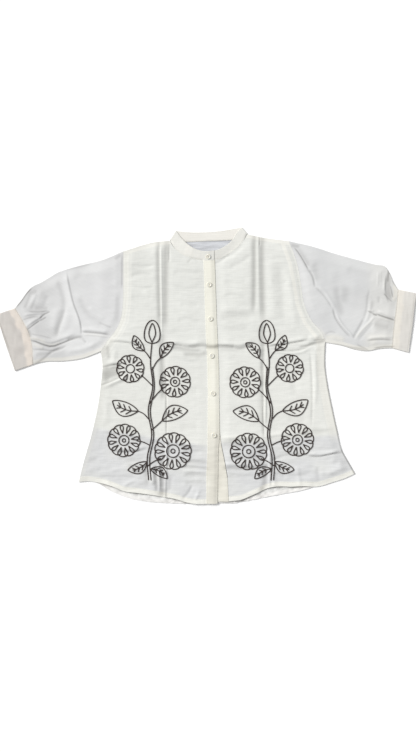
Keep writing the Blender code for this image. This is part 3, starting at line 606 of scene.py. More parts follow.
LEFT_FRONT_FOLDS = [
    # the pressed line
    ([(110, 112), (112, 200), (111, 345)], 6, -2.2, 0.34, 0, 0.3),
    ([(124, 90), (122, 180), (119.5, 345)], 1.8, 0.4, 0, 0, 0, 1.4),
    ([(134, 92), (131, 200), (129, 345)], 8, -2.4, 0.34),
    ([(124, 286), (122.5, 318)], 2, -1.5, 0.45),
    ([(133, 38), (132, 102)], 8, -1.4, 0.2),
    ([(133, -66), (132, 0), (134, 60)], 5, -2.8, 0.3),
    ([(133, -184), (132.5, -100), (132, -26)], 2, -2, 0.46),
    ([(131, -158), (132, -100), (132, -46)], 9, -1.4, 0.12),
    ([(137, -150), (138, -60), (137, 20)], 2.2, 2.6, 0, 0, 0, 1.4),
    ([(128, -244), (132, -176)], 12, -1.8, 0.16),
    ([(137, -300), (139, -228)], 7, -2.4, 0.32),
    ([(147, -294), (148, -188)], 2.4, 2.4, 0, 0, 0, 1.4),
    ([(126, -314), (134, -284)], 7, -1.6, 0.42),
    # the crease across the chest
    ([(22, 114), (70, 119), (112, 118)], 10, -1.2, 0.08, 0, 0.3),
    ([(24, 130), (70, 134), (112, 134)], 8, 1, 0, 0, 0.3),
    ([(12, 55), (40, 53), (62, 51), (88, 54), (114, 60)], 5, 2, 0, 0, 0.6),
    ([(-10, 47), (8, 46), (32, 47)], 5, -1.4, 0.46),
    ([(15, 48), (30, 47), (50, 46), (68, 46)], 4.6, -2.4, 0.4),
    ([(16, 50), (28, 49.5), (52, 48)], 1.8, -0.8, 0.5),
    ([(56, 46), (78, 42), (92, 46), (106, 54)], 4.6, -2, 0.26),
    ([(20, 40), (60, 38), (100, 36)], 6, -1.4, 0.12),
    ([(138, 46), (182, 52), (246, 63)], 2, -1.8, 0.26),
    ([(138, 51), (182, 57), (242, 67)], 4, 2, 0, 0, 0.5),
    ([(146, 42), (190, 36), (222, 39), (252, 52)], 2, -1.8, 0.26),
    ([(150, 38), (190, 31), (222, 33), (248, 44)], 3.5, 1.6),
    ([(216, 45), (240, 49), (266, 56)], 2.4, -1.6, 0.4),
    ([(238, 50), (262, 56), (284, 62)], 4, -1.8, 0.42),
    ([(250, 60), (266, 63), (284, 64)], 2, -1.2, 0.44),
    ([(238, 67), (262, 70), (290, 74)], 5, 1.6, 0, 0.4, 0.4),
    ([(254, 40), (278, 46)], 5, 1.4, 0, 0.5),
    # the crease above the hem and the rumples below it
    ([(24, -172), (70, -171), (114, -170)], 5, 2.2, 0, 0.35, 0.4),
    ([(30, -186), (60, -188), (102, -190)], 9, -2, 0.14),
    ([(98, -194), (124, -214)], 9, -1.2, 0.09),
    ([(32, -245), (80, -246), (126, -247)], 5, -2.4, 0.24),
    ([(34, -236), (80, -236), (122, -238)], 4, 1.8, 0, 0, 0.4),
    ([(50, -216), (90, -221), (130, -216)], 6, -1.4, 0.14),
    ([(48, -262), (90, -264), (122, -260)], 6, -1, 0.09),
    ([(116, -171), (180, -163), (244, -156)], 6, 1.8, 0, 0.2, 0.4),
    ([(232, -152), (280, -150), (320, -146)], 6, 1.4, 0, 0, 0.4),
    ([(230, -178), (258, -158), (284, -168)], 13, -1.2, 0.07),
    ([(232, -214), (262, -217), (300, -210), (334, -205)], 2, -2.4, 0.42),
    ([(236, -209), (270, -211), (330, -200)], 4, 2.4, 0, 0, 0.4),
    ([(146, -228), (190, -214), (242, -216)], 4, -1.4, 0.09),
    ([(280, -262), (318, -245), (350, -240)], 7, 2.2),
    ([(314, -238), (338, -226), (350, -220)], 9, -1.4, 0.14),
    ([(298, -226), (318, -232)], 7, -1, 0.08),
    ([(152, -254), (200, -262), (254, -256)], 5, -1.4, 0.08),
    ([(222, -290), (212, -238)], 5, 1.4),
    ([(160, -292), (156, -248)], 5, 1.4),
    ([(180, -274), (184, -234)], 6, -1.2, 0.07),
    ([(268, -290), (262, -238)], 5, -1.2, 0.07),
    # the side, the neck and soft swells
    ([(248, -154), (250, -60), (244, 44)], 2, -1.4, 0.14),
    ([(256, -104), (258, -20), (256, 38)], 5, 1.4),
    ([(212, -72), (206, -40), (214, -12)], 9, -1.2, 0.06),
    ([(188, -120), (238, -132)], 9, -1, 0.05),
    ([(14, 245), (30, 252), (46, 263)], 3, -1.8, 0.15),
    ([(18, 254), (36, 259), (56, 268)], 2.4, -0.8, 0.24),
    ([(40, 262), (60, 270), (86, 294)], 4, -0.7, 0.08),
    ([(28, 246), (62, 262), (94, 292)], 6, 0.6),
    ([(48, 235), (84, 250), (106, 270)], 6, -1, 0.04),
    ([(84, 140), (70, 222)], 20, 1),
    ([(34, 200), (64, 196), (98, 204)], 6, -0.8, 0.03),
    ([(34, 166), (60, 170), (96, 162)], 5, -0.8, 0.04),
    ([(30, 92), (66, 86), (104, 90)], 8, -1, 0.04),
    ([(158, 100), (150, 264)], 11, 1.2),
    ([(184, 90), (172, 252)], 9, -1.1, 0.04),
    ([(212, 88), (202, 150), (192, 232)], 8, 1.2),
    ([(160, 150), (186, 142), (214, 128)], 5, -0.9, 0.04),
    ([(150, 206), (172, 198), (194, 204)], 4, -0.8, 0.04),
    ([(158, -10), (204, -16), (252, -24)], 10, -0.9, 0.03),
    ([(38, -30), (106, -36)], 10, -0.8, 0.03),
    ([(36, -110), (76, -104), (108, -112)], 7, -0.8, 0.03),
]
RIGHT_SLEEVE_FOLDS = [
    # the long fold line and the soft folds beside it
    ([(-305, 78), (-306, 98), (-313, 122), (-323, 148), (-331, 182), (-342, 234)], 6, 2.4, 0, 0, 0.75, 1.4),
    ([(-303, 78), (-304, 98), (-310.5, 121), (-321, 148), (-329.5, 182), (-340, 236)], 1.8, -1.3, 0.22),
    ([(-303, 74), (-303, 90), (-306, 108)], 2.2, -1, 0.22),
    ([(-364, 64), (-356, 95), (-348, 117), (-341, 146)], 6, -2, 0.18, 0, 0.4),
    ([(-343, 130), (-344, 160), (-352, 188), (-363, 210)], 7, -1.5, 0.12),
    ([(-372, 82), (-366, 110), (-360, 142)], 9, 1.2),
    ([(-352, 74), (-340, 100), (-332, 132)], 9, 1),
    ([(-242, 92), (-268, 110), (-288, 128), (-300, 148), (-309, 172)], 8, -1.4, 0.11),
    ([(-262, 104), (-246, 97), (-228, 90)], 2.6, -1.2, 0.2),
    ([(-246, 110), (-270, 124), (-286, 144)], 7, 0.9),
    ([(-306, 82), (-280, 80), (-258, 78), (-232, 74)], 1.8, -1.7, 0.48),
    ([(-306, 87), (-280, 86), (-236, 80)], 3.4, 1.8, 0, 0, 0.6),
    ([(-304, 76), (-270, 74), (-232, 68)], 2, 1.2, 0, 0.3),
    # the roll of the underside
    ([(-436, 64), (-412, 58), (-392, 50), (-374, 46), (-350, 54), (-325, 64), (-298, 69)], 1.8, -2.4, 0.58),
    ([(-340, 60), (-322, 67), (-296, 69)], 4.2, -1.4, 0.3),
    ([(-438, 72), (-405, 66), (-378, 57), (-350, 66), (-314, 80)], 5.5, 2.6, 0, 0, 0.6),
    ([(-440, 70), (-412, 65), (-384, 57)], 3.5, 0.8, 0, 0.65),
    ([(-430, 77), (-400, 72), (-370, 64)], 1.8, -0.8, 0.16),
    ([(-404, 60), (-376, 51), (-350, 58)], 1.8, 0.8, 0, 0.6),
    ([(-422, 53), (-392, 42)], 3.5, 1, 0, 0.5),
    ([(-426, 40), (-395, 38), (-366, 36), (-334, 50)], 2.4, -1.4, 0.22),
    ([(-424, 3), (-408, 9), (-390, 21), (-376, 32), (-346, 46)], 3, -1.8, 0.34),
    ([(-414, 26), (-392, 28), (-370, 30)], 5, -0.8, 0.16),
    ([(-426, 28), (-408, 22)], 5, 1),
    ([(-344, 32), (-300, 40), (-266, 54)], 6, 1),
    ([(-302, 68), (-290, 54)], 3, -0.8, 0.18),
    ([(-340, 16), (-300, 26), (-260, 38)], 3, 0.8, 0, 0.4),
    # tucks into the cuff
    ([(-436, 84), (-420, 96), (-400, 110)], 1.8, -1.8, 0.36),
    ([(-404, 112), (-392, 123), (-376, 131)], 1.8, -1.7, 0.42),
    ([(-404, 107), (-386, 117)], 1.8, -1, 0.34),
    ([(-443, 89), (-420, 106), (-395, 122)], 3.6, 2.2, 0, 0, 0.5),
    ([(-432, 130), (-404, 129), (-378, 132)], 1.8, -1.4, 0.3),
    ([(-416, 138), (-396, 139), (-380, 138)], 5, -0.9, 0.16),
    ([(-446, 120), (-420, 125), (-390, 127)], 3.2, 1.8, 0, 0, 0.4),
    ([(-446, 109), (-420, 116), (-399, 118)], 2.4, -1.2, 0.16),
    ([(-424, 66), (-433, 94)], 4, -1.4, 0.26),
    ([(-435, 171), (-406, 179)], 6, -1, 0.14),
    ([(-440, 134), (-424, 176)], 4.5, -1, 0.14),
    ([(-428, 134), (-411, 178)], 5, 1.2, 0, 0, 0.3),
    ([(-412, 140), (-397, 190)], 8, 0.9, 0, 0, 0.2),
    ([(-396, 138), (-383, 172)], 6, -0.9, 0.1),
    ([(-437, 141), (-401, 151)], 9, -0.4, 0.05),
    ([(-466, 137), (-450, 154), (-436, 174), (-420, 190)], 2.4, -0.6, 0.6),
    # the top edge, the armhole seam and soft swells
    ([(-350, 230), (-310, 238), (-276, 246)], 3, -0.6, 0.16),
    ([(-206, 180), (-205.5, 230), (-206, 276)], 2, -1.2, 0.32),
    ([(-224, 254), (-208, 268)], 4, -0.8, 0.2),
    ([(-216, 96), (-213, 140), (-214, 174)], 7, -1, 0.08),
    ([(-262, 124), (-250, 190), (-256, 240)], 16, 1.2),
    ([(-324, 203), (-298, 224)], 9, -1, 0.05),
]
LEFT_SLEEVE_FOLDS = [
    # the fold from the shoulder point down to the sleeve's foot
    ([(203, 288), (215, 274), (228, 254), (243, 226)], 1.8, -2, 0.52),
    ([(196, 290), (222, 285)], 5, -0.8, 0.3),
    ([(212, 284), (228, 262), (244, 234)], 7, -0.8, 0.2),
    ([(238, 236), (252, 212), (257, 186)], 2.6, -1.5, 0.26),
    ([(250, 250), (262, 226), (268, 196)], 10, -0.9, 0.1),
    ([(256, 190), (275, 172), (288, 155), (300, 135)], 2.4, -1.4, 0.18),
    ([(260, 194), (281, 176), (296, 152), (308, 134)], 4.5, 1.4),
    ([(298, 146), (307, 113), (317, 97), (331, 80), (348, 63)], 2.6, -1.8, 0.24),
    ([(306, 124), (322, 98), (336, 82), (351, 67)], 3, 1.8),
    # the fold that rises from the foot
    ([(346, 62), (357, 82), (366, 98), (375, 116)], 3.4, -1.4, 0.2),
    ([(371, 104), (380, 132), (383, 158), (388, 188)], 3.4, -0.8, 0.1),
    ([(377, 102), (387, 134), (392, 164)], 4, 1),
    ([(350, 62), (370, 88), (388, 106), (402, 122)], 2.8, 1.2, 0, 0.4),
    ([(358, 58), (380, 84), (398, 104)], 3.4, -0.9, 0.1),
    ([(308, 196), (311, 168), (317, 142), (324, 114)], 9, -1.4, 0.16),
    ([(322, 142), (328, 166), (332, 198)], 13, -0.8, 0.2),
    ([(262, 196), (262, 248)], 9, -0.8, 0.08),
    ([(298, 192), (300, 240)], 12, 1),
    ([(342, 134), (350, 206)], 13, 0.9),
    ([(270, 110), (282, 150)], 13, 0.9),
    # tucks into the cuff
    ([(381, 132), (392, 127), (401, 122)], 1.8, -1, 0.34),
    ([(395, 124), (406, 121)], 2, -1.2, 0.62),
    ([(400, 125), (424, 117), (452, 108)], 1.8, -2.4, 0.6),
    ([(404, 132), (428, 123), (451, 114)], 3, 2, 0, 0.35, 0.5),
    ([(404, 117), (428, 110), (450, 102)], 2.4, 1, 0, 0.5),
    ([(382, 134), (398, 131)], 2, 1.2, 0, 0.4),
    ([(410, 148), (411, 168)], 4, -1, 0.1),
    ([(385, 176), (390, 152), (404, 141)], 8, -0.8, 0.1),
    ([(406, 190), (408, 228)], 2, 0.8),
    ([(416, 196), (417, 230)], 2, -0.5, 0.06),
    # the hollow behind the last tuck: a flat facet in painted shade, darkest at its top, with a cream edge
    # outside
    ([(431, 197), (432, 214), (433.5, 234)], 2.8, -1.6, 0.52, 0, 0, 4),
    ([(440, 150), (432.5, 172), (431, 196), (433, 222)], 7, -2, 0.27, 0, 0, 5),
    ([(443.5, 160), (440, 178), (436, 196)], 2, -0.8, 0.44),
    ([(421, 178), (423, 200), (428, 226)], 2.4, 1.2, 0, 0.5),
    ([(420, 175), (431, 164), (443, 152)], 1.8, -1, 0.4),
    ([(444, 152), (449, 174), (446, 198)], 5, 1.5, 0, 1, 0, 3),
    ([(440, 209), (449, 195), (464, 183)], 3, -0.5, 0.34),
    ([(378, 60), (410, 63), (446, 62)], 1.8, -1.8, 0.42),
    ([(380, 66), (412, 69), (450, 69)], 3.2, 1.8, 0, 0, 0.5),
    ([(386, 53), (420, 54), (452, 54)], 5, 1.6, 0, 0.45, 0.4),
    ([(394, 42), (420, 46), (452, 47)], 1.8, -1.6, 0.5),
    ([(397, 101), (418, 93), (438, 92)], 6, -1.1, 0.1),
    ([(388, 84), (420, 80), (446, 80)], 6, 1),
    # the foot seam and the arm pit
    ([(294, 54), (340, 45), (390, 38)], 2.5, -0.5, 0.32),
    ([(355, 52), (372, 44), (387, 36)], 2, -1.2, 0.32),
    ([(277, 73), (292, 81), (310, 79)], 1.8, -0.8, 0.16),
    ([(276, 66), (300, 69), (330, 61)], 7, 1.2, 0, 0.8),
    ([(330, 252), (400, 231)], 10, 1),
    ([(330, 233), (400, 209)], 10, -1.2, 0.04),
]
CUFF_FOLDS = [
    # painted shade only, with no relief: dark lines along the cuffs' edges and soft patches
    ([(-474, 34), (-487, 70), (-499, 104)], 1.8, 0, 0.3),
    ([(-478, 30), (-494, 72), (-503, 108)], 1.4, 0, 0.26),
    ([(-470, 8), (-456, 26), (-448, 52)], 7, 0, 0.05),
    ([(-462, 90), (-476, 116)], 7, 0, 0.08),
    ([(481, 33), (490, 100), (498, 172)], 1.6, 0, 0.3),
    ([(456, 40), (470, 52)], 6, 0, 0.1),
    ([(466, 150), (474, 120), (472, 90)], 7, 0, 0.05),
]
LEAN = 0.6  # how much narrower and wider the two sides of a fold are where its lean is 1
FOLD_TABLES = (RIGHT_FRONT_FOLDS, LEFT_FRONT_FOLDS, RIGHT_SLEEVE_FOLDS, LEFT_SLEEVE_FOLDS, CUFF_FOLDS)
FOLDS = [Fold(*row) for table in FOLD_TABLES for row in table]
CELL = 0.8  # millimetres between the points of the relief's grids
GRID_X = np.arange(-514, 514, CELL)
GRID_Y = np.arange(-342, 344, CELL)


def upright(rows, along):
    """Where a strip's upright line stands: its rows hold (along, across)."""
    return np.interp(along, [row[0] for row in rows], [row[1] for row in rows])


def fold_shape(x, y, fold, line):
    """exp(-(d / w)^sharp), d being the distance from the fold's line and w its half width. It thins out at
    each end, over a fifth of its length, or up to half where the fold is short and broad."""
    best, side, along = np.full(x.shape, 1e9), np.zeros(x.shape), np.zeros(x.shape)
    for k, ((ax, ay), (bx, by)) in enumerate(zip(line, line[1:])):
        dx, dy = bx - ax, by - ay
        t = np.clip(((x - ax) * dx + (y - ay) * dy) / (dx * dx + dy * dy), 0, 1)
        away = np.hypot(x - ax - t * dx, y - ay - t * dy)
        closer = away < best
        best = np.where(closer, away, best)
        side = np.where(closer, (x - ax) * dy - (y - ay) * dx, side)
        along = np.where(closer, (k + t) / (len(line) - 1), along)
    width = fold.width * np.where(side > 0, 1 - LEAN * fold.lean, 1 + LEAN * fold.lean)
    length = run_of(line)[-1]
    taper = np.clip(1.4 * fold.width / length, 0.2, 0.5)
    ends = ease(along / taper) * ease((1 - along) / taper)
    return ends * np.exp(-((best / width) ** fold.sharp))


def build_relief():
    """Grids of the upper layer's rise over its lowest place, of the folds' painted shade and of their cream,
    which is partly painted highlight. The rise is the loft, the sum of the folds and fine crinkles, pressed
    down towards the seams. Shade and cream are the greatest of any fold's."""
    x, y = np.meshgrid(GRID_X, GRID_Y)
    height, shade, cream = np.zeros((3, *x.shape))
    for fold in FOLDS:
        line = smooth(fold.path, 12)
        reach = 2.8 * fold.width * (1 + LEAN * abs(fold.lean))
        near_x = slice(*np.searchsorted(GRID_X, (line[:, 0].min() - reach, line[:, 0].max() + reach)))
        near_y = slice(*np.searchsorted(GRID_Y, (line[:, 1].min() - reach, line[:, 1].max() + reach)))
        near = near_y, near_x
        shape = fold_shape(x[near], y[near], fold, line)
        height[near] += fold.height * shape
        shade[near] = np.maximum(shade[near], fold.shade * shape)
        cream[near] = np.maximum(cream[near], fold.cream * shape)
    on_sleeve = ease((np.abs(x - 12) - 240) / 20) * ease((y - 40) / 15)
    lower = ease((-170 - y) / 30)
    total = LOFT + height * (1 - 0.15 * on_sleeve) + 0.4 * crinkle(x, y, 70, 60, 13)
    total = total + (0.30 + 0.3 * lower) * crinkle(x, y, 28, 8, 11) * (1 - 0.5 * on_sleeve)
    total = total + (0.16 + 0.14 * lower) * crinkle(x, y, 11, 5, 12) * (1 - 0.5 * on_sleeve)
    for line in CLOSED_EDGES:
        total = total * ease(distance(x, y, line) / EDGE_FALL)
    for line in SEWN_EDGES:
        total = total * (0.5 + 0.5 * ease(distance(x, y, line) / SEAM_FALL))
    strip = np.abs(x - upright(PLACKET_SEAM, y) - 14)
    total = total * (0.45 + 0.55 * ease((strip - 16) / 24))
    rising = np.maximum(total, 0) + 0.25 * np.log1p(np.exp(np.minimum(-total, 20)))
    slope_y, slope_x = np.gradient(rising, CELL)
    return rising, np.sqrt(1 + slope_x**2 + slope_y**2), shade, cream


RISE, STEEPNESS, SHADE, CREAM_AND_HIGHLIGHT = build_relief()


def sample(grid, x, y):
    """A grid's value at each point, even between its nearest four."""
    a, b = (np.asarray(x) - GRID_X[0]) / CELL, (np.asarray(y) - GRID_Y[0]) / CELL
    i = np.clip(np.floor(a).astype(int), 0, len(GRID_X) - 2)
    j = np.clip(np.floor(b).astype(int), 0, len(GRID_Y) - 2)
    s, t = a - i, b - j
    near = grid[j, i] * (1 - s) + grid[j, i + 1] * s
    far = grid[j + 1, i] * (1 - s) + grid[j + 1, i + 1] * s
    return near * (1 - t) + far * t


def rise(x, y):
    """How far the upper layer stands above its lowest place."""
    return sample(RISE, x, y)


def steepness(x, y):
    """Length of the cloth per length in plan, so that the wall keeps its thickness on a slope."""
    return sample(STEEPNESS, x, y)


def placket_lift(x, y):
    """The right front climbs over the button band before it goes under the placket."""
    return (WALL + GAP) * ease((x - upright(PLACKET_SEAM, y) + PLACKET_RISE + 4) / PLACKET_RISE)


def front_masks(x, y, half):
    """Cream where an allowance or the hem lies doubled, and painted highlight from the folds; the lower
    part greyer, painted shade; painted shade in the folds, beside the right side and armhole, and along the
    left side."""
    at_arm = distance(x, y, half.armhole)
    at_side = distance(x, y, half.side)
    from_hem = y - along_at(half.hem, x)
    shade = sample(SHADE, x, y)
    if half is RIGHT:
        at_seams = [
            0.55 * ease((15 - at_arm) / 3) + 0.6 * bell((at_arm - 18.5) / 1.2),
            0.30 * ease((10 - at_side) / 2.5),
        ]
        edge = -150 - 0.16 * (x + 260)
        # painted shade beside the right side and the armhole
        shade = shade + 0.17 * bell((at_side - 9) / 17) + 0.05 * ease((20 - at_arm) / 8)
    else:
        at_seams = [
            0.9 * ease((at_arm - 10) / 3) * ease((22 - at_arm) / 3) + 0.7 * bell(at_arm / 2.2),
            0.95 * ease((22 - at_side) / 3) * ease((y + 190) / 50),
        ]
        edge = -184 + 0.10 * np.maximum(x - 100, 0)
        # painted shadow: a dark line along the left side's edge
        shade = np.maximum(shade, 0.75 * bell(at_side / 1.9) * ease((60 - y) / 12))
    # painted shade: the lower part, below the crease over the hem, greyer
    grey_tone_and_shade = ease((edge + 6 - y) / 12) * ease((from_hem - 9) / 4) * (0.85 + 0.3 * crinkle(x, y, 45, 30, 23))
    doubled = [
        *at_seams,
        0.9 * ease((10 - distance(x, y, half.shoulder)) / 2.5),
        (0.88 + 0.12 * crinkle(x, y, 30, 30, 22)) * ease((12 - from_hem) / 2.0),
        0.12 * ease((40 - y) / 60) * (1 - grey_tone_and_shade),
        sample(CREAM_AND_HIGHLIGHT, x, y),
    ]
    return {"cream": np.maximum.reduce(doubled), "grey_tone_and_shade": grey_tone_and_shade, "shade": shade}


def front_plan(half):
    """Plan of a front: its guide lines are the side, the pressed line, the neck line and the centre edge."""
    u, v = FRONT_COLUMNS, np.linspace(0, 1, FRONT_ROWS)
    centre = upright(PLACKET_SEAM if half is RIGHT else UNDER_OUTER, between(-330, 253, v))
    if half is RIGHT:
        centre = centre + PLACKET_LAP
    pressed = upright(half.pressed, between(-325, 275, v))
    lines = [side_of(half, v), pressed, half.corner * (0.84 + 0.16 * v), centre]
    if half is LEFT:
        lines, u = lines[::-1], 3 - u[::-1]

    def top(across):
        on_shoulder = across <= half.corner if half is RIGHT else across >= half.corner
        neck = along_at(NECK_FRONT, across) + NECK_TUCK
        return np.where(on_shoulder, along_at(half.shoulder, across), neck)

    return panel_plan(u, v, lines, lambda across: along_at(half.hem, across), top)


def over_back(x, y):
    """Underside height of what lies straight on the back."""
    return WALL + GAP + rise(x, y)


def front_under(x, y, half):
    """Underside height of a front."""
    return over_back(x, y) + placket_lift(x, y) if half is RIGHT else over_back(x, y)


def front_over(x, y, half):
    """Height of a front's upper side."""
    return front_under(x, y, half) + WALL * steepness(x, y)


def build_front(name, node, half):
    x, y = front_plan(half)
    covered = (1 - ease((x - upright(PLACKET_SEAM, y) + 6) / 4)) if half is RIGHT else 1.0
    hem = ease((11.5 - (y - y[0])) / 1.5) * (0.45 + 0.12 * crinkle(x, y, 6, 20, 21))
    over = front_over(x, y, half) + hem * covered
    piece = add_wall(name, x, y, over, front_under(x, y, half), body_cloth, front_masks(x, y, half))
    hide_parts(node)


build_front("front_panel_right", "front_right", RIGHT)
build_front("front_panel_left", "front_left", LEFT)


# Button band and placket
# Two straight strips of the same cloth in cream, folded double over interfacing: the button band edges the
# left front, and the placket lies over it on the right front's edge, topstitched down both sides.
PLACKET_FREE = [(-331, 23), (-200, 25), (-165, 28), (0, 26), (110, 21), (253, 16)]
UNDER_INNER = [(-331, 23), (-270, 19), (-230, 12), (-190, 4), (-165, 2), (255, -10)]
STRIP_WALL = 1.2
PLACKET_EDGE = 11.0
STITCH_INSET = 2.2
STRIP_ROWS = 300
Strip = namedtuple("Strip", "left right floor_of thick")

strip_cloth = cloth_material(
    "strip_cloth", (0.80, 0.785, 0.69), (0.84, 0.83, 0.755), (0.65, 0.62, 0.55), 0.8, 0.12, 0.0002
)


def placket_floor(x, y):
    """Level over the right front's edge, easing down onto the band at the free edge."""
    drop = (WALL + GAP + 0.3) * ease((x - upright(PLACKET_FREE, y) + PLACKET_EDGE) / PLACKET_EDGE)
    return over_back(x, y) + 2 * (WALL + GAP) + 0.15 - drop


PLACKET = Strip(PLACKET_SEAM, PLACKET_FREE, placket_floor, STRIP_WALL)
BAND = Strip(UNDER_INNER, UNDER_OUTER, over_back, WALL)


def strip_edge(x, y, strip):
    """How far in from a strip's nearer edge each point lies."""
    return np.minimum(x - upright(strip.left, y), upright(strip.right, y) - x)


def strip_top(x, y, strip):
    """Top of a strip: thick over its floor, rounded at both edges, with puckers, loose ripples low down, and
    a groove in from each edge where it is stitched."""
    edge = strip_edge(x, y, strip)
    pucker = 0.16 * crinkle(x, y, 30, 5, 31) * ease((5 - edge) / 4)
    ripple = ease((-170 - y) / 20) * (0.45 * crinkle(x, y, 22, 7, 32) + 0.25 * np.sin(y / 3.1 + 0.1 * x))
    stitched = -0.22 * bell((edge - STITCH_INSET) / 0.8)
    rounded = 0.35 + 0.65 * np.sqrt(1 - (1 - np.clip(edge / 1.6, 0, 1)) ** 2)
    return strip.floor_of(x, y) + strip.thick * steepness(x, y) * rounded + pucker + ripple + stitched


def build_strip(name, node, strip, low, columns):
    v = np.linspace(0, 1, STRIP_ROWS)
    along = between(low, 252.0, v)
    start, end = upright(strip.left, along), upright(strip.right, along)
    share = np.r_[0, 0.008, 0.02, 0.04, 0.065, 0.1:0.9:columns * 1j, 0.935, 0.96, 0.98, 0.992, 1]
    x = start[:, None] + share * (end - start)[:, None]
    y = between(low, along_at(NECK_FRONT, x[-1]) + 1.3, v[:, None])
    # painted shade: greyer and darker low down, darker along both edges and in the folds
    grey_tone_and_shade = 0.75 * ease((-222 - y) / 8) * ease((y + 312) / 10) * (0.55 + 0.45 * crinkle(x, y, 40, 9, 33))
    shade = np.maximum(1.2 * sample(SHADE, x, y), 0.06 * bell(strip_edge(x, y, strip) / 0.9))
    masks = {
        "cream": 0.35 + 0.25 * crinkle(x, y, 12, 40, 34),
        "grey_tone_and_shade": np.maximum(grey_tone_and_shade, 0.7 * ease((-120 - y) / 60)),
        "shade": shade + 0.045 * ease((-150 - y) / 60),
    }
    piece = add_wall(name, x, y, strip_top(x, y, strip), strip.floor_of(x, y), strip_cloth, masks)
    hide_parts(node)


build_strip("button_band", "under_placket", BAND, -325.0, 12)
build_strip("top_placket", "placket", PLACKET, -330.0, 14)


# Sleeves
# Loose three-quarter sleeves of a smoother, cooler white cloth, each one piece folded at the top and sewn
# below. The fullness is tucked into the cuff, and long soft folds run from the shoulder and the arm pit.
FOLD_ROUND = 0.6
SEAM_GAP = 0.15
ROUNDING = 3  # points round each folded edge
SLEEVE_ROWS, SLEEVE_COLUMNS = 150, 126

sleeve_cloth_right = cloth_material(
    "sleeve_cloth_right", (0.72, 0.722, 0.718), (0.78, 0.765, 0.715), (0.66, 0.66, 0.66), 0.8, 0.08, 0.00014,
    turn=0.5, mottle=0.035, threads=1500.0,
)
# the same cloth as the right sleeve, its colours darker: painted shade
sleeve_cloth_left = cloth_material(
    "sleeve_cloth_left", (0.685, 0.687, 0.682), (0.76, 0.745, 0.69), (0.61, 0.615, 0.615), 0.8, 0.08, 0.00014,
    turn=-0.35, mottle=0.04, threads=1500.0,
)


def blend(s, q, top, foot, start, end):
    """Patch between four edges: (1-q) top + q foot + (1-s) start + s end, less the same blend of the
    corners."""
    s, q = s[:, None, None], q[None, :, None]
    across = (1 - q) * top[:, None] + q * foot[:, None]
    along = (1 - s) * start[None] + s * end[None]
    corners = (1 - s) * ((1 - q) * start[0] + q * start[-1]) + s * ((1 - q) * end[0] + q * end[-1])
    return across + along - corners


def directions(line):
    """Vectors of length 1 the same way."""
    return line / np.linalg.norm(line, axis=1)[:, None]


def moved_out(line, amount):
    """The line moved to its left by amount."""
    run = directions(np.gradient(line, axis=0))
    return line + amount * np.stack([-run[:, 1], run[:, 0]], axis=1)


def flat_tube(plan, upper_low, upper_high, lower_high, wall):
    """A flattened tube: rings of the upper layer, the rounded foot edge, the lower layer and the rounded top
    edge."""
    towards_top = directions(plan[:, 0] - plan[:, 1])
    towards_foot = directions(plan[:, -1] - plan[:, -2])

    def edge(line, direction, low, high, reach, turn):
        out = reach * np.sin(turn)
        level = 0.5 - 0.5 * np.cos(math.pi - turn)
        z = low[:, None] + level[None, :] * (high - low)[:, None]
        return np.concatenate([line[:, None] + out[None, :, None] * direction[:, None], z[..., None]], axis=2)

    def ring(upper_plan, upper_z, lower_z, reach):
        turn = np.linspace(0, math.pi, ROUNDING + 2)[1:-1]
        upper = np.concatenate([upper_plan, upper_z[..., None]], axis=2)
        lower = np.concatenate([upper_plan[:, ::-1], lower_z[:, ::-1, None]], axis=2)
        foot = edge(upper_plan[:, -1], towards_foot, lower_z[:, -1], upper_z[:, -1], reach, turn)
        top = edge(upper_plan[:, 0], towards_top, lower_z[:, 0], upper_z[:, 0], reach, turn[::-1])
        return np.concatenate([upper, foot, lower, top], axis=1)

    inset = plan.copy()
    inset[:, 0] -= wall * towards_top
    inset[:, -1] -= wall * towards_foot
    outer = ring(plan, upper_high, 0 * upper_high, FOLD_ROUND)
    inner = ring(inset, upper_low, np.full(upper_low.shape, lower_high), FOLD_ROUND * 0.4)
    return np.stack([outer, inner])


def ring_mask(values):
    """A mask known on the upper layer, carried round a flattened tube's edges and left out of its lower
    layer."""
    foot = np.repeat(values[:, -1:], ROUNDING, axis=1)
    top = np.repeat(values[:, :1], ROUNDING, axis=1)
    whole = np.concatenate([values, foot, 0 * values, top], axis=1)
    return np.stack([whole, whole])


def add_flat_tube(name, points, material, masks):
    masks = {mask: ring_mask(values) for mask, values in masks.items()}
    return add_cloth(name, points, tube_faces(*points.shape[1:3]), material, masks)


def arm_side(half, count):
    """The armhole from shoulder to arm pit."""
    v = np.linspace(ARM_PIT, 1, count)
    along = between(half.side[0][1], half.armhole[-1][1], v)
    line = np.stack([across_at(half.armhole, along), along], axis=1)
    line[0] = half.side[-1]
    return line[::-1]


def at_shares(rows, share):
    """Points of the curve through the rows at the given shares of its length, to the nearest 1 in 2000."""
    return smooth(rows, 2000)[np.round(share * 2000).astype(int)]


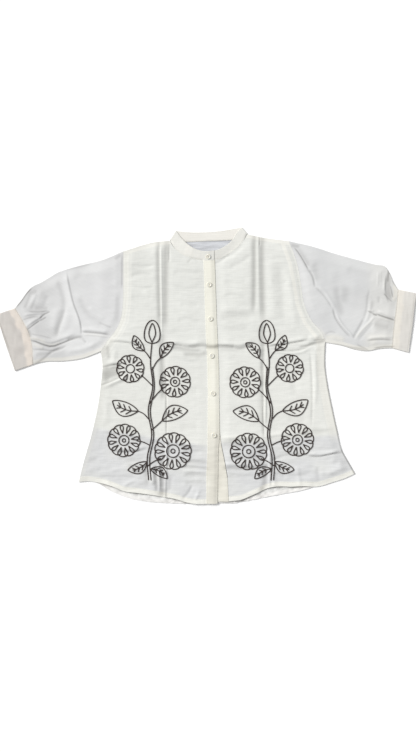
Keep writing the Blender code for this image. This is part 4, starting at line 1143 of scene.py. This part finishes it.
def build_sleeve(half, outward, material):
    """A flattened tube from the armhole to the cuff. It returns its end's line and each point's share of the
    way."""
    start = moved_out(arm_side(half, SLEEVE_COLUMNS), outward * SEAM_GAP)
    q = run_of(start) / run_of(start)[-1]
    s = np.linspace(0, 1, SLEEVE_ROWS)
    top, foot = at_shares(half.sleeve_top, s), at_shares(half.sleeve_foot, s)
    top = top + (1 - s[:, None]) * (start[0] - top[0])
    foot = foot + (1 - s[:, None]) * (start[-1] - foot[0])
    seam = at_shares(half.cuff_seam, q)
    plan = blend(s, q, top, foot, start, seam)
    x, y = plan[..., 0], plan[..., 1]
    low = over_back(x, y)
    points = flat_tube(plan, low, low + WALL * steepness(x, y), WALL, WALL)
    at_seam, at_foot = distance(x, y, half.cuff_seam), distance(x, y, half.sleeve_foot)
    at_arm = distance(x, y, half.armhole)
    doubled = [
        0.5 * ease((5 - at_seam) / 3) + 0.8 * ease((10 - at_foot) / 3),
        0.45 * ease((9 - at_arm) / 4) * ease((q[None, :] - 0.75) / 0.2),
        sample(CREAM_AND_HIGHLIGHT, x, y),
    ]
    # painted shade: darker towards the outer ends and, on the right sleeve, below its top edge
    outer = ease((np.abs(x) - 325) / 60)
    if half is RIGHT:
        outer = 0.16 * outer
        outer = outer + 0.09 * ease((70 - distance(x, y, half.sleeve_top)) / 55) * ease((x + 350) / 40)
    else:
        doubled += [
            0.3 * ease((x - 372) / 30),
            (0.45 + 0.3 * crinkle(x, y, 18, 12, 43)) * ease((x - 366) / 20) * ease((104 - y) / 46),
            0.9 * ease((x - 440) / 8) * ease((y - 158) / 10),
        ]
        outer = outer * 0.08 * ease((y - 90) / 60) * ease((190 - y) / 20)
        outer = outer + 0.12 * ease((x - 392) / 16) * ease((122 - y) / 8) * ease((y - 78) / 10)
    masks = {
        "cream": np.maximum.reduce(doubled),
        "grey_tone_and_shade": 0.35 + 0.5 * crinkle(x, y, 46, 40, 41),
        "shade": sample(SHADE, x, y) + outer * (1 + 0.5 * crinkle(x, y, 34, 26, 42)),
    }
    piece = add_flat_tube("sleeve_cloth_" + half.hand, points, material, masks)
    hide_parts("sleeve_" + half.hand)
    return seam, q


seam_right, share_right = build_sleeve(RIGHT, -1, sleeve_cloth_right)
seam_left, share_left = build_sleeve(LEFT, 1, sleeve_cloth_left)


# Cuffs
# Narrow double bands of a pinker cream cloth over interfacing, sewn to the tucked end of each sleeve, with
# the seam allowance showing through as a warmer stripe beside the seam.
BAND_WALL = 1.5
CUFF_ROWS = 40
SEAM_STITCH, WRIST_STITCH = 2.4, 3.0  # how far in from each edge it is stitched

cuff_cloth_right = cloth_material(
    "cuff_cloth_right", (0.59, 0.562, 0.53), (0.755, 0.685, 0.615), (0.50, 0.47, 0.445), 0.78, 0.08, 0.0002,
    turn=0.35,
)
cuff_cloth_left = cloth_material(
    "cuff_cloth_left", (0.69, 0.67, 0.63), (0.75, 0.715, 0.65), (0.62, 0.60, 0.57), 0.78, 0.08, 0.0002,
    turn=-0.1,
)


def build_cuff(half, outward, seam, q, material):
    """A flattened ring from the sleeve's seam to the wrist. It returns the two lines that are stitched round
    it."""
    near = moved_out(seam, outward * SEAM_GAP)
    wrist = at_shares(half.wrist, q)
    t = np.linspace(0, 1, CUFF_ROWS)
    upper_edge = near[0] + t[:, None] * (wrist[0] - near[0])
    lower_edge = near[-1] + t[:, None] * (wrist[-1] - near[-1])
    plan = blend(t, q, upper_edge, lower_edge, near, wrist)
    x, y = plan[..., 0], plan[..., 1]
    bulge = 1.5 * np.sin(math.pi * np.clip(q, 0, 1))[None, :] ** 0.6
    low = BAND_WALL + GAP + bulge * (0.5 + 0.5 * np.sin(math.pi * t))[:, None]
    depth = np.linalg.norm(plan - plan[:1], axis=2)
    reach = np.linalg.norm(plan[-1:] - plan, axis=2)
    wave = 0.22 * crinkle(x, y, 12, 9, 51) + 0.14 * crinkle(x, y, 5, 30, 52)
    stitched = -0.35 * bell((depth - SEAM_STITCH) / 0.9) - 0.35 * bell((reach - WRIST_STITCH) / 0.9)
    high = low + BAND_WALL + wave + stitched
    stripe = ease((21 + 3.5 * crinkle(x, y, 9, 14, 55) - depth) / 7) * (0.8 + 0.2 * crinkle(x, y, 6, 12, 53))
    # painted shade along the sleeve seam and beside the wrist's stitching
    painted_seam_shade = 0.18 * bell(depth / 1.4) + 0.1 * bell((reach - WRIST_STITCH) / 1.0)
    masks = {
        "cream": stripe,
        "grey_tone_and_shade": 0.45 * crinkle(x, y, 14, 18, 54) + 0.3 * ease((5 - reach) / 3),
        "shade": np.maximum(painted_seam_shade, sample(SHADE, x, y)),
    }
    points = flat_tube(plan, low, high, BAND_WALL, WALL)
    piece = add_flat_tube("cuff_band_" + half.hand, points, material, masks)
    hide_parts("cuff_" + half.hand)
    surface = np.concatenate([plan, high[..., None]], axis=2)
    rows, columns = [], range(3, len(q) - 3)
    edges = (depth, surface, SEAM_STITCH), (reach[::-1], surface[::-1], WRIST_STITCH)
    for from_edge, across, inset in edges:
        rows.append(np.array([points_at(across[:, j], from_edge[:, j], [inset])[0] for j in columns]))
    return rows


cuff_rows = build_cuff(RIGHT, -1, seam_right, share_right, cuff_cloth_right)
cuff_rows += build_cuff(LEFT, 1, seam_left, share_left, cuff_cloth_left)


# Collar
# One low stand of the body cloth over interfacing. It turns over on itself at both sides of the neck, so its
# cream inside shows at the back, and its ends overlap and button at the centre front.
COLLAR_LOW, COLLAR_HIGH = 0.75, 2.85  # the wall's middle below and above where the band turns over

# Each row holds x and y at the seam, x and y at the free edge, and the heights of the wall's middle at both.
COLLAR_ROWS_RIGHT = [
    (16, 253.7, 16, 276.5, 4.6, 8.1),
    (-10, 252.7, -8, 274.5, 4.7, 8.5),
    (-30, 255.8, -28, 279.5, 4.3, 7.8),
    (-59, 265.9, -49.5, 293, 3.4, 5.8),
    (-79, 281, -61.5, 305, 2.9, 4),
    (-90.6, 300.6, -76, 323.6, COLLAR_HIGH, COLLAR_HIGH),
]
COLLAR_PLAN_BACK = [
    (-90.6, 300.6, -76, 323.6), (-55, 297.9, -50, 321), (0, 299.9, 0, 321), (30, 300.9, 40, 325),
    (58, 303, 62, 329), (92.5, 316.6, 80, 331.6),
]
COLLAR_ROWS_BACK = [(*row, COLLAR_LOW, COLLAR_LOW) for row in COLLAR_PLAN_BACK]
COLLAR_ROWS_LEFT = [
    (92.5, 316.6, 80, 331.6, COLLAR_HIGH, COLLAR_HIGH),
    (86.8, 303.8, 66, 316, 2.85, 3.6),
    (69, 283, 58, 302, 2.85, 4.4),
    (39.5, 263, 39, 286, 2.85, 5.6),
    (17, 253.9, 18, 276.6, 2.85, 6.5),
    (-11, 252.9, -11, 274.8, 2.85, 6.6),
]
COLLAR_WIDTH = 24.0
STATION = 1.25  # millimetres along the band between its stations

# How far from the seam to the free edge each line of points along the band lies. The fourth from each edge is
# stitched.
COLLAR_SHARES = np.r_[0, 0.012, 0.04, 0.083, 0.14:0.86:11j, 0.917, 0.96, 0.988, 1]

collar_cloth = cloth_material(
    "collar_cloth", (0.76, 0.755, 0.71), (0.79, 0.77, 0.72), (0.68, 0.68, 0.655), 0.8, 0.14, 0.0002
)


def collar_run(rows, count, facing):
    """Stations of one flat stretch of the band: points across its wall's middle, and the way its outside
    faces."""
    rows = np.asarray(rows, float)
    seam = smooth(rows[:, [0, 1, 4]], count)
    free = smooth(rows[:, [2, 3, 5]], count)
    middle = seam[:, None] + COLLAR_SHARES[None, :, None] * (free - seam)[:, None]
    return middle, np.broadcast_to((0.0, 0.0, facing), middle.shape)


def collar_turn(row, outward, first_up):
    """Stations round a fold of the band: a half circle between the upper stretch and the lower one."""
    seam, free = np.array(row[:2]), np.array(row[2:4])
    line = seam + COLLAR_SHARES[:, None] * (free - seam)
    turn = np.radians(np.arange(15, 180, 15))[:, None]
    if not first_up:
        turn = turn[::-1]
    normal = np.concatenate([outward[0] * np.sin(turn), outward[1] * np.sin(turn), np.cos(turn)], axis=1)
    centre = np.c_[line, np.full(len(line), (COLLAR_HIGH + COLLAR_LOW) / 2)]
    normals = np.broadcast_to(normal[:, None], (len(turn), len(line), 3))
    return centre[None] + (COLLAR_HIGH - COLLAR_LOW) / 2 * normals, normals


def build_collar():
    """The band from its right end to its left one. It returns the lines that are stitched along it."""
    stretches = [
        collar_run(COLLAR_ROWS_RIGHT, 90, 1),
        collar_turn(COLLAR_ROWS_RIGHT[-1], (-0.844, 0.536), True),
        collar_run(COLLAR_ROWS_BACK, 100, -1),
        collar_turn(COLLAR_ROWS_LEFT[0], (0.768, 0.640), False),
        collar_run(COLLAR_ROWS_LEFT, 90, 1),
    ]
    middle, normal = (np.concatenate(parts) for parts in zip(*stretches))
    x = middle[..., 0]
    share = np.broadcast_to(COLLAR_SHARES, x.shape)
    height = COLLAR_WIDTH * np.minimum(share, 1 - share)
    run = np.broadcast_to(np.arange(len(x))[:, None], x.shape) * STATION
    wave = 0.16 * crinkle(run, height, 6, 60, 61) + 0.10 * crinkle(run, COLLAR_WIDTH * share, 14, 8, 62)
    stitched = -0.2 * bell((height - 2.0) / 0.8)
    from_free = COLLAR_WIDTH * (1 - share)
    rounded = np.sqrt(1 - (1 - np.clip(from_free / 1.3, 0, 1)) ** 2)
    rounded = rounded * np.sqrt(1 - (1 - np.clip(run / 2.8, 0, 1)) ** 2)
    half_wall = BAND_WALL / 2
    lift = BAND_WALL * (0.2 + 0.8 * rounded) - half_wall
    outside = middle + normal * (lift + np.maximum(wave, -0.1) * rounded + stitched)[..., None]
    inside = middle - normal * (half_wall + 0.08 * wave + stitched * 0.6)[..., None]
    joined = ease(1 - COLLAR_WIDTH * share / 5)
    for stretch, half in ((slice(0, 91), RIGHT), (slice(-91, None), LEFT)):
        across, along = outside[stretch, :, 0], outside[stretch, :, 1]
        below = front_over(across, along, half)
        if half is RIGHT:
            below = below + ease((across + 13) / 3) * (strip_top(across, along, PLACKET) - below)
        outside[stretch, :, 2] += joined[stretch] * (below + 0.12 - outside[stretch, :, 2])
    inner_mask = 0.9 + 0.1 * crinkle(run, COLLAR_WIDTH * share, 18, 9, 63)
    outer_mask = 0.25 * ease((-20 - x) / 30) * ease((x + 70) / 20)
    outer_mask = outer_mask + 0.45 * crinkle(run, COLLAR_WIDTH * share, 11, 9, 65)
    grey_tone_and_shade = 0.5 * crinkle(run, COLLAR_WIDTH * share, 9, 30, 64)
    # painted shade close to both edges outside, and inside near the seam
    masks = {
        "cream": np.stack([outer_mask, inner_mask]),
        "grey_tone_and_shade": np.stack([grey_tone_and_shade, 0.4 * grey_tone_and_shade]),
        "shade": np.stack([0.04 * bell(height / 1.2), 0.20 * ease((0.18 - share) / 0.18)]),
    }
    piece = add_cloth("collar_band", np.stack([outside, inside]), wall_faces(*x.shape), collar_cloth, masks)
    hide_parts("collar")
    # of 91 stations in front, 11 in the turn, 101 at the back, 11 in the turn and 91 in front
    front_right, back, front_left = slice(3, 88), slice(105, 188), slice(-88, -4)
    return [
        side[stretch, k] for side, stretch in ((outside, front_right), (inside, back), (outside, front_left))
        for k in (3, -4)
    ]


collar_rows = build_collar()


# Buttons
# Six two-hole shirt buttons of off-white pearly plastic, dished in the middle, each sewn on with three turns
# of a slightly darker thread from hole to hole. The collar's button leans with the band.
BUTTON_RADIUS = 6.0
BUTTON_THICK = 2.2
BUTTON_SIDES = 48
HOLE_SPREAD = 1.6
THREAD_REACH = HOLE_SPREAD + 0.5
BUTTON_THREAD_RADIUS = 0.3
Button = namedtuple("Button", "node across along base slope")


def button_base(across, along):
    """The height a button rests at: the highest of the placket under it, and the gap."""
    reach = np.linspace(-BUTTON_RADIUS, BUTTON_RADIUS, 7)
    grid_x, grid_y = np.meshgrid(across + reach, along + reach)
    return float((placket_floor(grid_x, grid_y) + STRIP_WALL * steepness(grid_x, grid_y)).max()) + 0.1


BUTTON_PLACES = [(3, 195), (6, 113), (9, 24), (12, -66), (14, -166)]
buttons = [Button(f"button_{k}", x, y, button_base(x, y), 0.0) for k, (x, y) in enumerate(BUTTON_PLACES, 1)]
buttons.append(Button("button_collar", 0.6, 261.5, 6.8, 0.167))


def clouded_material(name, sockets, base, other, scale, detail, stretch=(1, 1, 1), bump=0.0):
    """A material whose colour drifts between two by a noise on the object, as do pearl and the strands of
    thread."""
    material, tree, shader = new_material(name, sockets)
    place = tree.nodes.new("ShaderNodeTexCoord")
    cloud = noise(tree, place.outputs["Object"], scale, detail, stretch)
    tree.links.new(mixed(tree, "MIX", cloud, (*base, 1), (*other, 1)), shader.inputs["Base Color"])
    if bump:
        add_bump(tree, shader, cloud, bump)
    return material


PEARL = {
    "Roughness": 0.38, "Coat Weight": 0.2, "Subsurface Weight": 0.4, "Subsurface Radius": (1.0, 0.9, 0.7),
    "Subsurface Scale": 0.0015,
}
pearl = clouded_material(
    "pearl_button", PEARL, (0.80, 0.785, 0.70), (0.70, 0.69, 0.62), 260.0, 3.0, (1.0, 0.45, 1.0)
)
button_thread = clouded_material(
    "button_thread", {"Roughness": 0.7}, (0.54, 0.50, 0.43), (0.64, 0.60, 0.52), 2500.0, 1.0
)


def tube_along(path, radius, sides):
    """Points and faces of a closed round tube along a path, its ends drawn in."""
    path = np.asarray(path, float)
    run = directions(np.gradient(path, axis=0))
    across = np.cross(run, (0, 0, 1))
    across = across / np.maximum(np.linalg.norm(across, axis=1), 1e-9)[:, None]
    over = np.cross(across, run)
    turn = np.arange(sides) * 2 * math.pi / sides
    thick = np.full(len(path), radius)
    thick[[0, -1]] *= 0.35
    ring = np.cos(turn)[None, :, None] * across[:, None] + np.sin(turn)[None, :, None] * over[:, None]
    points = path[:, None] + ring * thick[:, None, None]
    count = len(path) * sides
    k = np.arange(count).reshape(len(path), sides)
    n = np.roll(k, -1, axis=1)
    faces = np.stack([k[:-1], n[:-1], n[1:], k[1:]], axis=-1).reshape(-1, 4).tolist()
    faces += np.stack([n[0], k[0], np.full(sides, count)], axis=1).tolist()
    faces += np.stack([k[-1], n[-1], np.full(sides, count + 1)], axis=1).tolist()
    return np.vstack([points.reshape(-1, 3), path[:1], path[-1:]]), faces


def add_tubes(name, tubes, material):
    """One piece from many tubes."""
    faces, start = [], 0
    for points, tube in tubes:
        faces += [[corner + start for corner in face] for face in tube]
        start += len(points)
    piece = add_piece(name, np.vstack([points for points, tube in tubes]), faces, material)


def build_button(button):
    """A turned disc. Its section goes in radius and height from the middle of its underside round to its
    dish."""
    r, h = BUTTON_RADIUS, BUTTON_THICK
    section = np.array(
        [
            (0.05, 0), (r - 1.2, 0), (r - 0.5, 0.25), (r - 0.1, 0.7), (r, 1.1), (r - 0.1, 1.6),
            (r - 0.5, 2.0), (r - 1.0, h), (r - 1.5, h), (r - 2.0, h - 0.2), (r - 2.6, h - 0.5),
            (2.4, h - 0.6), (0.05, h - 0.62),
        ]
    )
    turn = np.arange(BUTTON_SIDES) * 2 * math.pi / BUTTON_SIDES
    radius, z = section[:, :1], section[:, 1:]
    points = np.stack([radius * np.cos(turn), radius * np.sin(turn), z + 0 * turn], axis=2)
    points[..., 2] += button.slope * points[..., 1]
    points = points + (button.across, button.along, button.base)
    k = np.arange(len(section) * BUTTON_SIDES).reshape(len(section), BUTTON_SIDES)
    n = np.roll(k, -1, axis=1)
    faces = np.stack([k[:-1], k[1:], n[1:], n[:-1]], axis=-1).reshape(-1, 4).tolist()
    faces += [k[0].tolist(), k[-1][::-1].tolist()]
    piece = add_piece("shirt_" + button.node, points.reshape(-1, 3), faces, pearl, sharp_from=50)
    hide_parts(button.node)


threads_sewn = []
for shirt_button in buttons:
    build_button(shirt_button)
    dish = shirt_button.base + BUTTON_THICK - 0.55
    t = np.linspace(-1, 1, 9)
    for aside in (-0.35, 0.0, 0.35):
        x = shirt_button.across + aside + 0 * t
        y = shirt_button.along + THREAD_REACH * t
        z = dish + 0.55 * np.sqrt(np.maximum(1 - t**2, 0)) - 0.25 + shirt_button.slope * THREAD_REACH * t
        threads_sewn.append(tube_along(np.stack([x, y, z], axis=1), BUTTON_THREAD_RADIUS, 6))
add_tubes("button_threads", threads_sewn, button_thread)


# Topstitching
# Cream cotton thread in stitches of 2 mm, sunk at both ends: down both sides of the placket, along the hems,
# inside the armholes, and round the collar and the cuffs.
STITCH, STITCH_PITCH, THREAD_RADIUS = 2.1, 3.0, 0.26

cotton_thread = clouded_material(
    "cotton_thread", {"Roughness": 0.6}, (0.76, 0.745, 0.66), (0.62, 0.60, 0.53), 2200.0, 1.0
)


def stitch_row(path):
    """Short tubes along a line on the surface, one every pitch, each arching from -0.6 to 0.45 of its
    radius."""
    run = run_of(path)
    tubes = []
    for start in np.arange(0, run[-1] - STITCH, STITCH_PITCH):
        points = points_at(path, run, start + STITCH * np.linspace(0, 1, 4))
        points[:, 2] += THREAD_RADIUS * np.array([-0.6, 0.45, 0.45, -0.6])
        tubes.append(tube_along(points, THREAD_RADIUS, 5))
    return tubes


def on_front(x, y, half, extra):
    """Points over a front's upper side."""
    return np.stack([x, y, front_over(x, y, half) + extra], axis=1)


def build_topstitching():
    rows = [*cuff_rows, *collar_rows]
    for strip, edge, inset, low, high in (
        (PLACKET, PLACKET.left, STITCH_INSET, -327, 250),
        (PLACKET, PLACKET.right, -STITCH_INSET, -327, 250),
        (BAND, BAND.right, -STITCH_INSET, -322, -100),
    ):
        along = np.linspace(low, high, 400)
        across = upright(edge, along) + inset
        rows.append(np.stack([across, along, strip_top(across, along, strip)], axis=1))
    for half, start, end in ((RIGHT, -302, -7), (LEFT, 53, 342)):
        across = np.linspace(start, end, 300)
        rows.append(on_front(across, along_at(half.hem, across) + 10, half, 0.42))
    for half, inward in ((RIGHT, 6.5), (LEFT, -6.5)):
        line = moved_out(arm_side(half, 160), inward)[5:-6]
        rows.append(on_front(line[:, 0], line[:, 1], half, 0.03))
    tubes = [tube for row in rows for tube in stitch_row(row)]
    add_tubes("topstitching", tubes, cotton_thread)


build_topstitching()


# Cord embroidery
# Dark brown twisted cord couched on each front in a tall spray: a waving stem that branches left and right
# into looped daisies and plain leaves under a tulip bud. It is a round cord 2.5 mm thick, sewn on the
# surface.
CORD_RADIUS = 1.25
CORD_STEP = 1.7  # millimetres between the points of its path

cord_brown = clouded_material(
    "couched_cord", {"Roughness": 0.75, "Sheen Weight": 0.1}, (0.010, 0.006, 0.005), (0.055, 0.035, 0.028),
    900.0, 2.0, bump=0.0003,
)


def evenly(points, step):
    """The path resampled every step millimetres."""
    run = run_of(points)
    return points_at(points, run, np.linspace(0, run[-1], max(int(run[-1] / step), 6) + 1))


def daisy(x, y, inner, outer, petals, turn):
    """A ring of loops: each petal goes out by sin^0.9 of its share and swings aside by sin of twice it as it
    turns."""
    share = np.linspace(0, petals, petals * 22 + 1)
    spacing = 2 * math.pi / petals
    petal = share % 1
    reach = inner + (outer - inner) * np.abs(np.sin(math.pi * petal)) ** 0.9
    angle = turn + spacing * (share - 0.46 * np.sin(2 * math.pi * petal))
    return np.stack([x + reach * np.cos(angle), y + reach * np.sin(angle)], axis=1)


def flower(x, y, inner, outer, petals, turn, *rings):
    """A daisy with round rings inside it, each given by its radius."""
    angle = np.linspace(0, 2 * math.pi, 60)
    circles = [np.stack([x + r * np.cos(angle), y + r * np.sin(angle)], axis=1) for r in rings]
    return [daisy(x, y, inner, outer, petals, turn), *circles]


def turned_by(angle):
    """The matrix that turns rows of x and y by an angle."""
    cos, sin = math.cos(angle), math.sin(angle)
    return np.array([[cos, sin], [-sin, cos]])


def leaf(x, y, length, width, degrees):
    """An almond outline, width * sin^0.8 of the share along, on a midrib bowed by 0.12, with the midrib and
    veins."""
    share = np.linspace(0, 1, 60)
    rib = np.stack([length * share, length * 0.12 * np.sin(math.pi * share)], axis=1)
    half = width / 2 * np.sin(math.pi * share) ** 0.8
    lines = [np.vstack([rib + np.c_[0 * half, half], (rib - np.c_[0 * half, half])[::-1]]), rib[:48]]
    for at in (14, 26, 37):
        for side in (-1, 1):
            tip = rib[at + 9] + (0, side * 0.66 * half[at + 9])
            lines.append(np.linspace(rib[at], tip, 8))
    return [line @ turned_by(math.radians(degrees)) + (x, y) for line in lines]


def curve(*points):
    return smooth(points, 60)


def spray(mirror):
    """The paths of one front's spray, drawn round x = 0 and y = 0 and mirrored for the other front."""
    paths = [
        curve((2, -212), (-3, -160), (6, -104), (-4, -45), (5, 14), (-2, 70), (0, 118)),
        curve((8, -212), (3, -160), (11, -104), (1, -46), (9, 12), (3, 60)),
        curve((-2, -178), (14, -166), (30, -158)),
        *flower(58, -140, 20, 44, 13, 0.3, 15, 5),
        curve((3, -128), (-16, -120), (-30, -118)),
        *flower(-60, -118, 17, 39, 12, 0.2, 12, 4),
        curve((5, -92), (24, -74), (32, -66)),
        *leaf(30, -68, 66, 34, 24),
        curve((2, -70), (-16, -52), (-30, -46)),
        *leaf(-28, -47, 66, 34, 160),
        curve((-3, -30), (18, -2), (30, 10)),
        *flower(58, 26, 16, 37, 11, 0.1, 11, 4),
        curve((5, 14), (-12, 30), (-24, 40)),
        *flower(-50, 54, 14, 33, 10, 0.5, 10),
        curve((2, 52), (14, 74), (24, 84)),
        *leaf(22, 82, 48, 25, 52),
        curve((-2, 78), (-12, 92), (-20, 100)),
        *leaf(-18, 98, 44, 23, 126),
        *leaf(-3, -168, 50, 25, 205),
        *leaf(6, -184, 46, 22, -28),
    ]
    bud = np.linspace(0, 1, 50)
    for side in (-1, 1):
        across, along = side * 19 * np.sin(math.pi * bud**0.8), 116 + 56 * bud - 6 * np.sin(2 * math.pi * bud)
        paths.append(np.stack([across, along], axis=1))
    paths.append(curve((0, 118), (-8, 140), (0, 164), (8, 140), (0, 118)))
    return [path * ((-1 if mirror else 1), 1) for path in paths]


def build_embroidery(name, half, x0, y0, tilt):
    tubes = []
    for path in spray(half is LEFT):
        plan = evenly(path @ turned_by(tilt) + (x0, y0), CORD_STEP)
        z = front_over(plan[:, 0], plan[:, 1], half) + CORD_RADIUS * 0.75
        tubes.append(tube_along(np.c_[plan, z], CORD_RADIUS, 8))
    add_tubes(name, tubes, cord_brown)


build_embroidery("cord_embroidery_right", RIGHT, -138, -62, -0.03)
build_embroidery("cord_embroidery_left", LEFT, 148, -62, 0.05)
